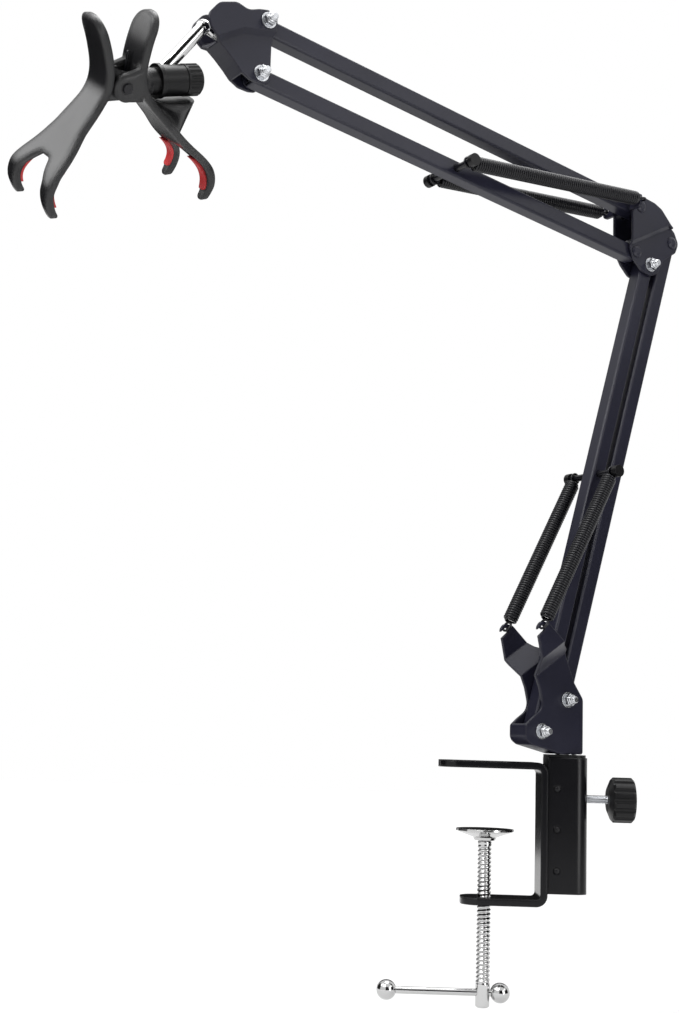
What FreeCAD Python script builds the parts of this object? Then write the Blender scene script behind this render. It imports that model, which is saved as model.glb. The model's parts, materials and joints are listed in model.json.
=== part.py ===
"""Articulating arm phone stand: table clamp, two parallel-link arms and a spring clip.

Millimetres. The origin lies on the underside of the clamp's top jaw, on the axis of the
clamp screw. +Z is up, +X runs from the screw to the swivel post, and -Y is the near side.
The arm is drawn in its own upright plane (x backwards, -y near side, z up, zero on the
post's axis) and then turned about the post. The clip is drawn upright about its hinge.
"""
import math
import os

import FreeCAD
import Part

# Fits
RUN = 0.05                  # radial clearance of a pin or shaft that turns in its hole
SEAT = 0.02                 # radial clearance of a pin that is pressed in
GAP = 0.3                   # clearance between neighbours that move past each other

# Clamp bracket, one folded strip
STRIP_THICK = 5.0
STRIP_WIDTH = 32.0
JAW_REACH = 34.0            # free end of the top jaw, in front of the screw axis
LEG_REACH = 17.0            # free end of the lower leg, in front of the screw axis
THROAT_DEPTH = 38.0         # screw axis to the inner face of the back plate
THROAT_HEIGHT = 90.0        # underside of the top jaw to the top of the lower leg
BEND_RADIUS = 3.0           # inside radius of the two bends
JAW_CORNER = 13.0           # corner radius of the two free ends

# Post sleeve on the back plate
SLEEVE_DEPTH = 29.0
SLEEVE_WIDTH = 27.5
SLEEVE_CORNER = 9.0
SLEEVE_SHEET = 2.0
SLEEVE_TOP = 9.0
SLEEVE_LENGTH = 95.0
LINER_RIM = 2.0             # height of the liner's rim above the sleeve
RIVET_D = 3.6
RIVET_HEAD_D = 5.6
RIVET_HEAD_H = 0.9
RIVET_DEPTH = 4.0
RIVET_SETBACK = 6.5         # rivets behind the back plate
RIVET_FIRST = 22.0          # first rivet below the sleeve's top
RIVET_PITCH = 28.5
RIVET_COUNT = 3

# Post lock
LOCK_SCREW_D = 6.0
LOCK_DROP = 29.0            # lock screw below the sleeve's top
LOCK_BACK = 1.2             # screw's end to the post while the post is free
KNOB_STANDOFF = 15.5        # bare screw between sleeve and knob
KNOB_D = 32.0
KNOB_LENGTH = 18.5
KNOB_FLUTES = 14
KNOB_FLUTE_R = 2.2
KNOB_FLUTE_OUT = 0.8        # flute's centre outside the knob's edge
KNOB_EDGE = 1.6             # chamfer of the knob's edges
KNOB_NOSE = 2.5             # length of the knob's tapered nose
KNOB_NOSE_SHARE = 0.55      # nose's small end, of the knob's radius
KNOB_SOCKET = 10.0

# Clamp screw, foot and tommy bar
SCREW_D = 10.0
SCREW_LENGTH = 115.0
SCREW_SPIGOT_D = 7.0
SCREW_SPIGOT = 5.0
SCREW_END_COVER = 10.0      # tommy bar above the screw's lower end
FOOT_D = 41.0
FOOT_PLATE = 2.5
FOOT_HEIGHT = 8.0
FOOT_HUB_D = 17.0
TABLE_GAP = 43.0            # top jaw to foot, as set in the photograph
BAR_D = 5.0
BAR_LENGTH = 80.0           # between the centres of the balls
BALL_D = 14.0
BALL_SOCKET = 4.0

# Swivel post
POST_D = 12.0
POST_DEPTH = 78.0           # below the liner's rim
COLLAR_D = 15.0
SPIGOT_D = 8.0
SPIGOT_HEAD_D = 11.5
SPIGOT_HEAD_H = 1.8
SPIGOT_HEAD_EDGE = 1.2

# Arm plane and linkage
ARM_YAW = 33.5              # turn of the arm about the post
SHEET = 2.0                 # bracket sheet
TUBE = 12.0                 # square tube
TUBE_WALL = 1.0
TUBE_CORNER = 1.6
SIDE_PLAY = 0.65            # tube to bracket cheek
BASE_PIVOT = (-31.0, 27.0)  # front pivot of the lower arm
LOWER_LINK = (24.0, 23.0)   # front pivot to rear pivot
LOWER_LENGTH = 380.0
LOWER_LEAN = 16.4           # backward lean from upright
ELBOW_OFFSET = (-14.3, 8.0)  # lower arm's front pivot to upper arm's bottom pivot
UPPER_LINK = (2.0, 36.5)    # bottom pivot to top pivot
UPPER_LENGTH = 346.5
UPPER_RISE = 8.2            # rise towards the head
BOLT_D = 5.0
BOLT_HEAD_AF = 8.0
BOLT_HEAD_H = 3.5
BOLT_END = 3.0              # bolt beyond its nut
NUT_AF = 8.0
NUT_H = 4.0
NUT_COLLAR_H = 1.6
NUT_COLLAR_INSET = 0.4      # lock nut's round collar inside its flats
WASHER_D = 11.0
WASHER_H = 1.0
PIVOT_HEAD_D = 9.5          # low heads of the riveted pivots
PIVOT_HEAD_H = 1.8
PIVOT_HEAD_EDGE = 2.0
BASE_RISE = 11.5            # bottom of the base bracket above the table

# Springs
SPRING_SIDE = 20.0          # spring axis to arm plane
SPRING_D = 11.0
SPRING_WIRE = 1.8
SPRING_NECK = 5.0           # tapered end of the coil
PIN_D = 5.0
PIN_OVERHANG = 7.0          # pin beyond the spring axis
PIN_CAP_D = 9.0
PIN_CAP_H = 4.5
LOWER_PIN_AT = 200.0        # along the lower front tube
UPPER_PIN_AT = 178.5        # along the upper bottom tube
HORN_EYE = (-41.6, 98.6)    # lower spring's eye in the horn
HORN_FOLD = (-29.0, 71.5)   # a point on the horn's fold
HORN_FOLD_DIR = (19.0, 12.5)
EYE_D = 4.2
HOOK_DIP = 40.0             # slope of the hook's slot, down to the front
LOOP_R = 3.6                # end loop of a spring, to the wire's centre
TAB_FORWARD = (-21.6, 45.5)  # upper spring's tab, from the elbow's front pivot
TAB_HALF = 5.5

# Elbow and head cheeks
ELBOW_STEP = 2.5            # outward step of the elbow's upper half
ELBOW_FOLDS = [(-21.0, 12.5), (24.0, 36.5)]  # the step's fold, from the elbow's front pivot
HEAD_STEP = 3.5
HEAD_FOLDS = [(-31.5, 14.5), (-15.0, 24.6), (9.0, 28.6)]  # from the head's bottom pivot
STEP_RUN = 3.0              # width of the sloping step

# Rod between head and clip
ROD_D = 8.5
ROD_THREAD_D = 6.0
ROD_KNUCKLE_D = 10.0
ROD_CORNER = (-40.0, 24.2)  # from the head's bottom pivot
ROD_LEG_DIP = 20.0          # threaded leg below level
ROD_TAB_AT = 20.0           # corner to the bracket's cross tab
ROD_LEG = 29.0
ROD_FALL = 54.1             # long leg below level
ROD_LENGTH = 58.2
ROD_NUT_AF = 10.0
ROD_NUT_H = 4.5

# Clip
CLIP_PITCH = 17.5           # rise of the clip's pivot axis
CLIP_ROLL = 36.7            # clip about its pivot axis
FIXED_SPLAY = 4.0           # extra opening of the fixed jaw
HUB_TO_ROD = 25.0           # hinge to the rod's axis, along the pivot axis
JAW_THICK = 5.0
JAW_EDGE = 1.2              # rounding of the jaws' edges
BAND_HALF = 40.0            # half width of a jaw's band before it is trimmed
KNUCKLE_R = 8.8
KNUCKLE_OUT = 13.0          # outer face of the outer knuckles
KNUCKLE_MID = 8.6
KNUCKLE_IN = 4.4
CHEEK_TOP = 13.0            # hinge cheeks at the jaw plate, above and below the hinge
CHEEK_LOW = -9.0
HINGE_D = 4.0
HINGE_HEAD_D = 7.0
HINGE_HEAD_H = 1.2
HINGE_HEAD_EDGE = 0.4
TORSION_R = 6.2
TORSION_WIRE = 1.6
TORSION_LEG = (7.6, 19.0)   # end of a leg, beside and above the hinge
PAD_THICK = 1.6
PAD_FROM = -48.0
PAD_TO = -69.0
BOSS_R = 10.0
STUD_D = 8.0
STUD_LENGTH = 6.0           # barrel's stud in the fixed jaw
NECK_FROM = 21.0
NECK_R = 8.5
FLANGE_FROM = 27.0
FLANGE_R = 11.0
BARREL_FROM = 30.0
BARREL_R = 10.0
BARREL_TO = 46.5
COLLAR_R = 10.3
COLLAR_LENGTH = 11.5
COLLAR_GROOVES = 18
COLLAR_GROOVE_R = 1.1
COLLAR_GROOVE_OUT = 0.4     # groove's centre outside the collar's edge
COLLAR_EDGE = 1.5
COLLAR_STUD_D = 10.0
COWL_TOP = (40.0, -11.6)    # centre of the cowl's top, beside and below the hinge
COWL_TOP_R = 15.0
COWL_TIP = (44.0, -39.0)
COWL_TIP_R = 3.0

# Worked out from the sizes above
V = FreeCAD.Vector
X_AXIS = V(1, 0, 0)
Y_AXIS = V(0, 1, 0)
Z_AXIS = V(0, 0, 1)
BACK = THROAT_DEPTH + STRIP_THICK
POST_X = BACK + SLEEVE_DEPTH / 2
SLEEVE_BOTTOM = SLEEVE_TOP - SLEEVE_LENGTH
LOCK_Z = SLEEVE_TOP - LOCK_DROP
RIM_TOP = SLEEVE_TOP + LINER_RIM
CHEEK = TUBE / 2 + SIDE_PLAY
CHEEK_OUT = CHEEK + SHEET
HORN_OUT = SPRING_SIDE - SHEET / 2 - CHEEK
BIG = 400.0


def add2(a, b):
    """Sum of two plane points."""
    return (a[0] + b[0], a[1] + b[1])


def along(point, angle, distance):
    """Plane point at a distance from another, at an angle above +x."""
    a = math.radians(angle)
    return (point[0] + distance * math.cos(a), point[1] + distance * math.sin(a))


BASE_REAR = add2(BASE_PIVOT, LOWER_LINK)
ELBOW_FRONT = along(BASE_PIVOT, 90 - LOWER_LEAN, LOWER_LENGTH)
ELBOW_REAR = add2(ELBOW_FRONT, LOWER_LINK)
ELBOW_BOTTOM = add2(ELBOW_FRONT, ELBOW_OFFSET)
ELBOW_TOP = add2(ELBOW_BOTTOM, UPPER_LINK)
HEAD_BOTTOM = along(ELBOW_BOTTOM, 180 - UPPER_RISE, UPPER_LENGTH)
HEAD_TOP = add2(HEAD_BOTTOM, UPPER_LINK)
LOWER_PIN = along(BASE_PIVOT, 90 - LOWER_LEAN, LOWER_PIN_AT)
UPPER_PIN = along(ELBOW_BOTTOM, 180 - UPPER_RISE, UPPER_PIN_AT)
TAB_EYE = add2(ELBOW_FRONT, TAB_FORWARD)
CORNER = add2(HEAD_BOTTOM, ROD_CORNER)
ROD_END = along(CORNER, 180 + ROD_FALL, ROD_LENGTH)
HUB = along(ROD_END, 180 + CLIP_PITCH, HUB_TO_ROD)


def in_plane(p, y=0.0):
    """Space point of a point of the arm plane."""
    return V(p[0], y, p[1])


def place_arm(shape):
    """Turn a shape of the arm plane about the post and set it on the clamp."""
    s = shape.copy()
    s.rotate(V(0, 0, 0), Z_AXIS, ARM_YAW)
    s.translate(V(POST_X, 0, 0))
    return s


def place_pivot(shape):
    """Set a shape drawn along the clip's pivot axis into the arm plane."""
    s = shape.copy()
    s.rotate(V(0, 0, 0), Y_AXIS, -CLIP_PITCH)
    s.translate(in_plane(HUB))
    return place_arm(s)


def place_clip(shape):
    """Set a shape drawn upright about the clip's hinge into the arm plane."""
    s = shape.copy()
    s.rotate(V(0, 0, 0), X_AXIS, CLIP_ROLL)
    return place_pivot(s)


def mirror_y(shape):
    """Mirror image of a shape on the other side of the arm plane."""
    return shape.mirror(V(0, 0, 0), Y_AXIS)


def fuse(shapes):
    """One solid from overlapping shapes, with merged faces."""
    first = shapes[0]
    if len(shapes) > 1:
        first = first.multiFuse(shapes[1:])
    return first.removeSplitter()


def cylinder(p, axis, radius, length):
    """Cylinder from a point along an axis."""
    return Part.makeCylinder(radius, length, p, axis)


def cross_pin(p, radius, y0, y1):
    """Cylinder across the arm plane at a plane point, from y0 to y1."""
    return cylinder(in_plane(p, y0), Y_AXIS, radius, y1 - y0)


def turned(profile, origin, axis):
    """Solid of revolution from (along, radius) points about an axis through the origin."""
    pts = [V(a, 0, r) for a, r in profile]
    face = Part.Face(Part.makePolygon(pts + [pts[0]]))
    solid = face.revolve(V(0, 0, 0), X_AXIS, 360)
    solid.Placement = FreeCAD.Placement(origin, FreeCAD.Rotation(X_AXIS, axis))
    return solid


def rounded_wire(points, place):
    """Closed wire of lines and arcs through plane points (a, b, corner radius)."""
    n = len(points)
    edges = []
    ends = []
    for i in range(n):
        a, b, r = points[i]
        before = points[i - 1]
        after = points[(i + 1) % n]
        d0 = (before[0] - a, before[1] - b)
        d1 = (after[0] - a, after[1] - b)
        l0 = math.hypot(*d0)
        l1 = math.hypot(*d1)
        u0 = (d0[0] / l0, d0[1] / l0)
        u1 = (d1[0] / l1, d1[1] / l1)
        half = math.acos(max(-1.0, min(1.0, u0[0] * u1[0] + u0[1] * u1[1]))) / 2
        cut = min(r / math.tan(half), 0.49 * l0, 0.49 * l1)
        if half > 1.55 or cut < 1e-3:
            ends.append((place(a, b), None, place(a, b)))
            continue
        start = place(a + u0[0] * cut, b + u0[1] * cut)
        end = place(a + u1[0] * cut, b + u1[1] * cut)
        mid = ((u0[0] + u1[0]) / 2, (u0[1] + u1[1]) / 2)
        length = math.hypot(*mid)
        depth = cut / math.cos(half) - cut * math.tan(half)
        top = place(a + mid[0] / length * depth, b + mid[1] / length * depth)
        ends.append((start, top, end))
    for i in range(n):
        start, top, end = ends[i]
        if top is not None:
            edges.append(Part.Arc(start, top, end).toShape())
        edges.append(Part.LineSegment(end, ends[(i + 1) % n][0]).toShape())
    return Part.Wire(edges)


def plane_prism(points, y0, y1):
    """Prism of a rounded outline of the arm plane, from y0 to y1."""
    wire = rounded_wire(points, lambda a, b: V(a, y0, b))
    return Part.Face(wire).extrude(V(0, y1 - y0, 0))


def hex_prism(p, axis, flats, height):
    """Six-sided prism from a point along an axis."""
    radius = flats / math.sqrt(3)
    pts = [V(0, radius * math.sin(k * math.pi / 3), radius * math.cos(k * math.pi / 3)) for k in range(7)]
    solid = Part.Face(Part.makePolygon(pts)).extrude(V(height, 0, 0))
    solid.Placement = FreeCAD.Placement(p, FreeCAD.Rotation(X_AXIS, axis))
    return solid


# Clamp

def clamp_bracket():
    """C-shaped strip: top jaw, back plate and lower leg, with round free ends."""
    t = STRIP_THICK
    low = -THROAT_HEIGHT - t
    outer = BEND_RADIUS + t
    profile = [(-JAW_REACH, 0, 0), (THROAT_DEPTH, 0, BEND_RADIUS),
               (THROAT_DEPTH, -THROAT_HEIGHT, BEND_RADIUS), (-LEG_REACH, -THROAT_HEIGHT, 0),
               (-LEG_REACH, low, 0), (BACK, low, outer), (BACK, t, outer), (-JAW_REACH, t, 0)]
    strip = plane_prism(profile, -STRIP_WIDTH / 2, STRIP_WIDTH / 2)
    ends = [e for e in strip.Edges if abs(e.Length - t) < 1e-6 and e.CenterOfMass.x < 0]
    strip = strip.makeFillet(JAW_CORNER, ends)
    hole = cylinder(V(0, 0, low - 1), Z_AXIS, SCREW_D / 2 + RUN, t + 2)
    return strip.cut(hole)


def sleeve_section(inset):
    """Outline of the sleeve, seen from above, set in by a distance."""
    half = SLEEVE_WIDTH / 2 - inset
    back = BACK + SLEEVE_DEPTH - inset
    r = SLEEVE_CORNER - inset
    return [(BACK, -half, 0), (back, -half, r), (back, half, r), (BACK, half, 0)]


def sleeve_prism(inset, z0, z1):
    """Upright prism of the sleeve's outline."""
    wire = rounded_wire(sleeve_section(inset), lambda a, b: V(a, b, z0))
    return Part.Face(wire).extrude(V(0, 0, z1 - z0))


def rivet_points():
    """Places of the rivets on both flanks of the sleeve: point and outward direction."""
    x = BACK + RIVET_SETBACK
    rows = [SLEEVE_TOP - RIVET_FIRST - k * RIVET_PITCH for k in range(RIVET_COUNT)]
    return [(V(x, s * SLEEVE_WIDTH / 2, z), V(0, s, 0)) for s in (-1, 1) for z in rows]


def rivet_holes():
    """Holes for the rivets' shanks."""
    holes = []
    for p, out in rivet_points():
        holes.append(cylinder(p + out * 0.5, -out, RIVET_D / 2 + SEAT, RIVET_DEPTH + 1.0))
    return holes


def lock_hole():
    """Hole for the lock screw through the back of the sleeve."""
    start = V(POST_X, 0, LOCK_Z)
    return cylinder(start, X_AXIS, LOCK_SCREW_D / 2 + RUN, SLEEVE_DEPTH)


def sleeve_shell():
    """Folded sheet that wraps the liner behind the back plate."""
    shell = sleeve_prism(0, SLEEVE_BOTTOM, SLEEVE_TOP)
    shell = shell.cut(sleeve_prism(SLEEVE_SHEET, SLEEVE_BOTTOM - 1, SLEEVE_TOP + 1))
    return shell.cut(Part.Compound(rivet_holes() + [lock_hole()]))


def post_liner():
    """Moulded liner with the post's bore and a rim on the sleeve's top edge."""
    body = sleeve_prism(SLEEVE_SHEET, SLEEVE_BOTTOM, SLEEVE_TOP)
    rim = sleeve_prism(SLEEVE_SHEET / 2, SLEEVE_TOP, RIM_TOP)
    start = V(POST_X, 0, SLEEVE_BOTTOM - 1)
    bore = cylinder(start, Z_AXIS, POST_D / 2 + RUN, SLEEVE_LENGTH + LINER_RIM + 2)
    return fuse([body, rim]).cut(Part.Compound(rivet_holes() + [lock_hole(), bore]))


def sleeve_rivets():
    """Domed rivets that hold the liner in the sleeve."""
    r = RIVET_HEAD_D / 2
    ball = (r * r + RIVET_HEAD_H ** 2) / (2 * RIVET_HEAD_H)
    rivets = []
    for p, out in rivet_points():
        shank = cylinder(p, -out, RIVET_D / 2, RIVET_DEPTH)
        dome = Part.makeSphere(ball, p + out * (RIVET_HEAD_H - ball))
        dome = dome.common(cylinder(p, out, r, RIVET_HEAD_H))
        rivets.append(fuse([shank, dome]))
    return Part.Compound(rivets)


def lock_screw():
    """Screw that locks the post, drawn backed off so that the post can turn."""
    start = POST_X + POST_D / 2 + LOCK_BACK
    end = BACK + SLEEVE_DEPTH + KNOB_STANDOFF + KNOB_SOCKET
    return cylinder(V(start, 0, LOCK_Z), X_AXIS, LOCK_SCREW_D / 2, end - start)


def lock_knob():
    """Fluted knob on the lock screw."""
    x0 = BACK + SLEEVE_DEPTH + KNOB_STANDOFF
    r = KNOB_D / 2
    edge = KNOB_EDGE
    profile = [(0, 0), (0, r * KNOB_NOSE_SHARE), (KNOB_NOSE, r - edge), (KNOB_NOSE + edge, r),
               (KNOB_LENGTH - edge, r), (KNOB_LENGTH, r - edge), (KNOB_LENGTH, 0)]
    knob = turned(profile, V(x0, 0, LOCK_Z), X_AXIS)
    cuts = [cylinder(V(x0 - 1, 0, LOCK_Z), X_AXIS, LOCK_SCREW_D / 2 + SEAT, KNOB_SOCKET + 1)]
    for k in range(KNOB_FLUTES):
        a = 2 * math.pi * k / KNOB_FLUTES
        out = r + KNOB_FLUTE_OUT
        p = V(x0 - 1, out * math.cos(a), LOCK_Z + out * math.sin(a))
        cuts.append(cylinder(p, X_AXIS, KNOB_FLUTE_R, KNOB_LENGTH + 2))
    return knob.cut(Part.Compound(cuts))


# Clamp screw

def foot_cup():
    """Dished pressure foot with a socket for the screw's spigot."""
    r = FOOT_D / 2
    hub = FOOT_HUB_D / 2
    deep = FOOT_HEIGHT
    socket = SCREW_SPIGOT_D / 2 + RUN
    roof = -deep + SCREW_SPIGOT + GAP
    profile = [(0, 0), (0, r), (-FOOT_PLATE * 0.6, r), (-FOOT_PLATE, r - 2), (-deep * 0.75, hub),
               (-deep, hub - 1), (-deep, socket), (roof, socket), (roof, 0)]
    return turned(profile, V(0, 0, -TABLE_GAP), Z_AXIS)


def screw_levels():
    """Heights of the screw's shoulder under the foot, its end and its cross hole."""
    shoulder = -TABLE_GAP - FOOT_HEIGHT - RUN
    end = shoulder - SCREW_LENGTH
    return shoulder, end, end + SCREW_END_COVER


def clamp_screw():
    """Clamp screw with a spigot in the foot and a cross hole for the tommy bar."""
    shoulder, end, bar = screw_levels()
    r = SCREW_D / 2
    profile = [(0, 0), (0, r - 1), (1, r), (SCREW_LENGTH, r), (SCREW_LENGTH, SCREW_SPIGOT_D / 2),
               (SCREW_LENGTH + SCREW_SPIGOT, SCREW_SPIGOT_D / 2), (SCREW_LENGTH + SCREW_SPIGOT, 0)]
    screw = turned(profile, V(0, 0, end), Z_AXIS)
    return screw.cut(cylinder(V(-SCREW_D, 0, bar), X_AXIS, BAR_D / 2 + RUN, 2 * SCREW_D))


def bar_ends():
    """Centres of the tommy bar's balls, with the right one against the screw."""
    bar = screw_levels()[2]
    right = SCREW_D / 2 + BALL_D / 2 + GAP
    return V(right - BAR_LENGTH, 0, bar), V(right, 0, bar)


def tommy_bar():
    """Bar through the screw."""
    left, right = bar_ends()
    return cylinder(left, X_AXIS, BAR_D / 2, right.x - left.x)


def tommy_bar_balls():
    """Balls pressed on the bar's ends."""
    balls = []
    for centre in bar_ends():
        ball = Part.makeSphere(BALL_D / 2, centre)
        toward = X_AXIS if centre.x < 0 else -X_AXIS
        balls.append(ball.cut(cylinder(centre, toward, BAR_D / 2 + SEAT, BALL_D)))
    return Part.Compound(balls)


# Sheet brackets

def folded_sheet(fold, direction, step, run):
    """Wide sheet that steps outwards along a straight fold through a plane point.

    The sheet is flat up to the fold, slopes outwards by the step over the run, and is flat again.
    """
    length = math.hypot(*direction)
    d = (direction[0] / length, direction[1] / length)
    w = (-d[1], d[0])
    lean = SHEET * math.tan(math.atan2(step, run) / 2)
    section = [(-BIG, CHEEK), (0, CHEEK), (run, CHEEK + step), (BIG, CHEEK + step), (BIG, CHEEK_OUT + step),
               (run - lean, CHEEK_OUT + step), (-lean, CHEEK_OUT), (-BIG, CHEEK_OUT)]
    start = add2(fold, (-BIG * d[0], -BIG * d[1]))
    pts = [V(start[0] + a * w[0], -n, start[1] + a * w[1]) for a, n in section]
    face = Part.Face(Part.makePolygon(pts + [pts[0]]))
    return face.extrude(V(2 * BIG * d[0], 0, 2 * BIG * d[1]))


def folded_cheek(outline, folds, step, run):
    """Near cheek of a bracket: its outline cut from a sheet that steps outwards at a fold.

    The fold runs through two plane points, or through three with a mitre at the middle one.
    """
    ways = [(b[0] - a[0], b[1] - a[1]) for a, b in zip(folds, folds[1:])]
    sheet = folded_sheet(folds[0], ways[0], step, run)
    if len(ways) == 2:
        turns = [math.degrees(math.atan2(w[1], w[0])) for w in ways]
        mitre = 90 + (turns[0] + turns[1]) / 2
        ends = [along(folds[1], mitre, BIG), along(folds[1], mitre + 180, BIG)]
        back = [along(q, mitre + 90, BIG) + (0,) for q in reversed(ends)]
        before = plane_prism([q + (0,) for q in ends] + back, -BIG / 4, 0)
        sheet = fuse([sheet.common(before), folded_sheet(folds[1], ways[1], step, run).cut(before)])
    return sheet.common(plane_prism(outline, -BIG / 4, 0))


def edge_web(outline, mask, half):
    """Web between the cheeks: a strip along the outline's edge, kept inside a mask."""
    ring = Part.Face(rounded_wire(outline, lambda a, b: V(a, -half, b)))
    inner = ring.OuterWire.makeOffset2D(-SHEET)
    ring = ring.cut(Part.Face(inner))
    return ring.extrude(V(0, 2 * half, 0)).common(plane_prism(mask, -half, half))


def bolt_holes(points):
    """Holes across a bracket for its pivot bolts."""
    return Part.Compound([cross_pin(p, BOLT_D / 2 + RUN, -BIG / 8, BIG / 8) for p in points])


def base_outline():
    """Cheek of the base bracket with its horn, from the rear bottom corner round."""
    eye = HORN_EYE
    tip = [add2(eye, q) for q in ((23.5, -10.2), (6.0, 4.2), (-1.5, 5.0), (-5.0, 0.5), (-2.6, -9.0))]
    rear = BASE_REAR[1]
    return [(8.3, BASE_RISE, 2), (8.3, rear + 1, 6), (0, rear + 12, 6), (-8, 80, 6), (-9.5, 86, 3),
            (*tip[0], 6), (*tip[1], 5), (*tip[2], 4), (*tip[3], 4), (*tip[4], 12),
            (-40.5, 74, 14), (-33, 58, 14), (-29, 43, 10), (-40, 35.5, 5), (-45.5, 31, 3),
            (-45.5, 21, 7), (-40, 17.5, 7), (-12, BASE_RISE, 12)]


def hook_slot():
    """Slot from the horn's eye out through its front edge, which leaves a hook."""
    half = EYE_D / 2
    reach = EYE_D * 4
    slot = plane_prism([(0, -half, 0), (reach, -half, 0), (reach, half, 0), (0, half, 0)], -BIG / 8, 0)
    slot.rotate(V(0, 0, 0), Y_AXIS, 180 - HOOK_DIP)
    slot.translate(in_plane(HORN_EYE))
    return slot.fuse(cross_pin(HORN_EYE, half, -BIG / 8, 0))


def base_bracket():
    """Two cheeks with flared spring horns, joined by a web along the bottom and front."""
    outline = base_outline()
    near = folded_cheek(outline, [HORN_FOLD, add2(HORN_FOLD, HORN_FOLD_DIR)], HORN_OUT, HORN_OUT)
    near = near.cut(hook_slot())
    mask = [(20, 0, 0), (20, BASE_RISE + 6, 0), (-36, 26, 0), (-36, 32, 0), (-60, 32, 0), (-60, 0, 0)]
    web = edge_web(outline, mask, CHEEK_OUT)
    body = fuse([near, mirror_y(near), web])
    spigot = cylinder(V(0, 0, 0), Z_AXIS, SPIGOT_D / 2 + SEAT, 2 * BASE_RISE)
    return body.cut(Part.Compound([bolt_holes([BASE_PIVOT, BASE_REAR]), spigot]))


def swivel_post():
    """Post with a collar on the liner's rim and a spigot riveted over in the bracket."""
    bottom = RIM_TOP - POST_DEPTH
    collar = RIM_TOP + RUN
    top = BASE_RISE
    floor = BASE_RISE + SHEET
    r = POST_D / 2
    profile = [(bottom, 0), (bottom, r - 1), (bottom + 1, r), (collar, r), (collar, COLLAR_D / 2),
               (top, COLLAR_D / 2), (top, SPIGOT_D / 2), (floor, SPIGOT_D / 2), (floor, SPIGOT_HEAD_D / 2),
               (floor + SPIGOT_HEAD_H, SPIGOT_HEAD_D / 2 - SPIGOT_HEAD_EDGE), (floor + SPIGOT_HEAD_H, 0)]
    return turned(profile, V(0, 0, 0), Z_AXIS)


def elbow_outline():
    """Cheek of the elbow bracket, from its front round the lower pivots and over the top."""
    f = ELBOW_FRONT
    rel = [(-21.5, 9, 5), (-16, 0.5, 6), (-8, -7, 6), (1, -8.8, 6), (8, -5.5, 6), (15, 7, 10),
           (28, 15.5, 5), (31.2, 23.5, 6), (27, 32, 6), (20.6, 37, 6), (10.6, 47, 8), (3, 50.5, 8),
           (-8, 52.5, 6), (-16, 52, 5), (-20.6, 47, 4), (-20.6, 16, 4)]
    return [(f[0] + a, f[1] + b, r) for a, b, r in rel]


def spring_tab():
    """Near tab at the elbow, bent outwards, with the upper spring's eye."""
    x, z = TAB_EYE
    out = SPRING_SIDE + GAP
    pts = [(-CHEEK - ELBOW_STEP, z - TAB_HALF, 0), (-out, z - TAB_HALF, 3), (-out, z + TAB_HALF, 3),
           (-CHEEK - ELBOW_STEP, z + TAB_HALF, 0)]
    wire = rounded_wire(pts, lambda a, b: V(x - SHEET / 2, a, b))
    tab = Part.Face(wire).extrude(V(SHEET + 0.6, 0, 0))
    eye = cylinder(V(x - SHEET, -SPRING_SIDE + LOOP_R, z), X_AXIS, EYE_D / 2, 3 * SHEET)
    return tab.cut(eye)


def elbow_bracket():
    """Two stepped cheeks with spring tabs, joined by a web over the rear of the top."""
    outline = elbow_outline()
    f = ELBOW_FRONT
    folds = [add2(f, q) for q in ELBOW_FOLDS]
    near = folded_cheek(outline, folds, ELBOW_STEP, STEP_RUN)
    near = fuse([near, spring_tab()])
    mask = [add2(f, q) + (0,) for q in ((1, 70), (1, 40), (23, 34), (23, 70))]
    web = edge_web(outline, mask, CHEEK_OUT + ELBOW_STEP)
    body = fuse([near, mirror_y(near), web])
    return body.cut(bolt_holes([ELBOW_FRONT, ELBOW_REAR, ELBOW_BOTTOM, ELBOW_TOP]))


def head_outline():
    """Cheek of the head bracket with its rounded wing."""
    h = HEAD_BOTTOM
    rel = [(7, -5.6, 4), (7, 21, 3), (9, 30, 4), (9, 41, 6), (2, 44, 5), (-5, 42.6, 5), (-13, 39.7, 8),
           (-22, 42.5, 8), (-35, 38.4, 9), (-43, 28, 8), (-40, 20, 5), (-36.5, 16.7, 4), (-32.5, 13.5, 5),
           (-26, 8.5, 10), (-19.5, 2.6, 10), (-14.5, -2.6, 4), (-8, -6.2, 5), (0, -6.9, 6)]
    return [(h[0] + a, h[1] + b, r) for a, b, r in rel]


def rod_tab():
    """Cross tab of the head bracket that carries the rod's threaded leg."""
    half = CHEEK + SHEET / 2
    low = -9.5
    high = 6.0
    box = Part.makeBox(SHEET, 2 * half, high - low, V(ROD_TAB_AT - SHEET / 2, -half, low))
    box.rotate(V(0, 0, 0), Y_AXIS, ROD_LEG_DIP)
    box.translate(in_plane(CORNER))
    return box


def leg_direction():
    """Direction of the rod's threaded leg, from the corner into the bracket."""
    a = math.radians(-ROD_LEG_DIP)
    return V(math.cos(a), 0, math.sin(a))


def head_bracket():
    """Two stepped cheeks with wings, a slanting web in front and the rod's cross tab."""
    outline = head_outline()
    h = HEAD_BOTTOM
    folds = [add2(h, q) for q in HEAD_FOLDS]
    near = folded_cheek(outline, folds, HEAD_STEP, STEP_RUN)
    mask = [add2(h, q) + (0,) for q in ((-30, 15), (-40, 10), (-16, -16), (-13.5, -9), (-13.5, 2))]
    web = edge_web(outline, mask, CHEEK_OUT)
    body = fuse([near, mirror_y(near), web, rod_tab()])
    leg = cylinder(in_plane(CORNER), leg_direction(), ROD_THREAD_D / 2 + RUN, ROD_LEG + 2)
    return body.cut(Part.Compound([bolt_holes([HEAD_BOTTOM, HEAD_TOP]), leg]))


# Fasteners of the brackets

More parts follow.
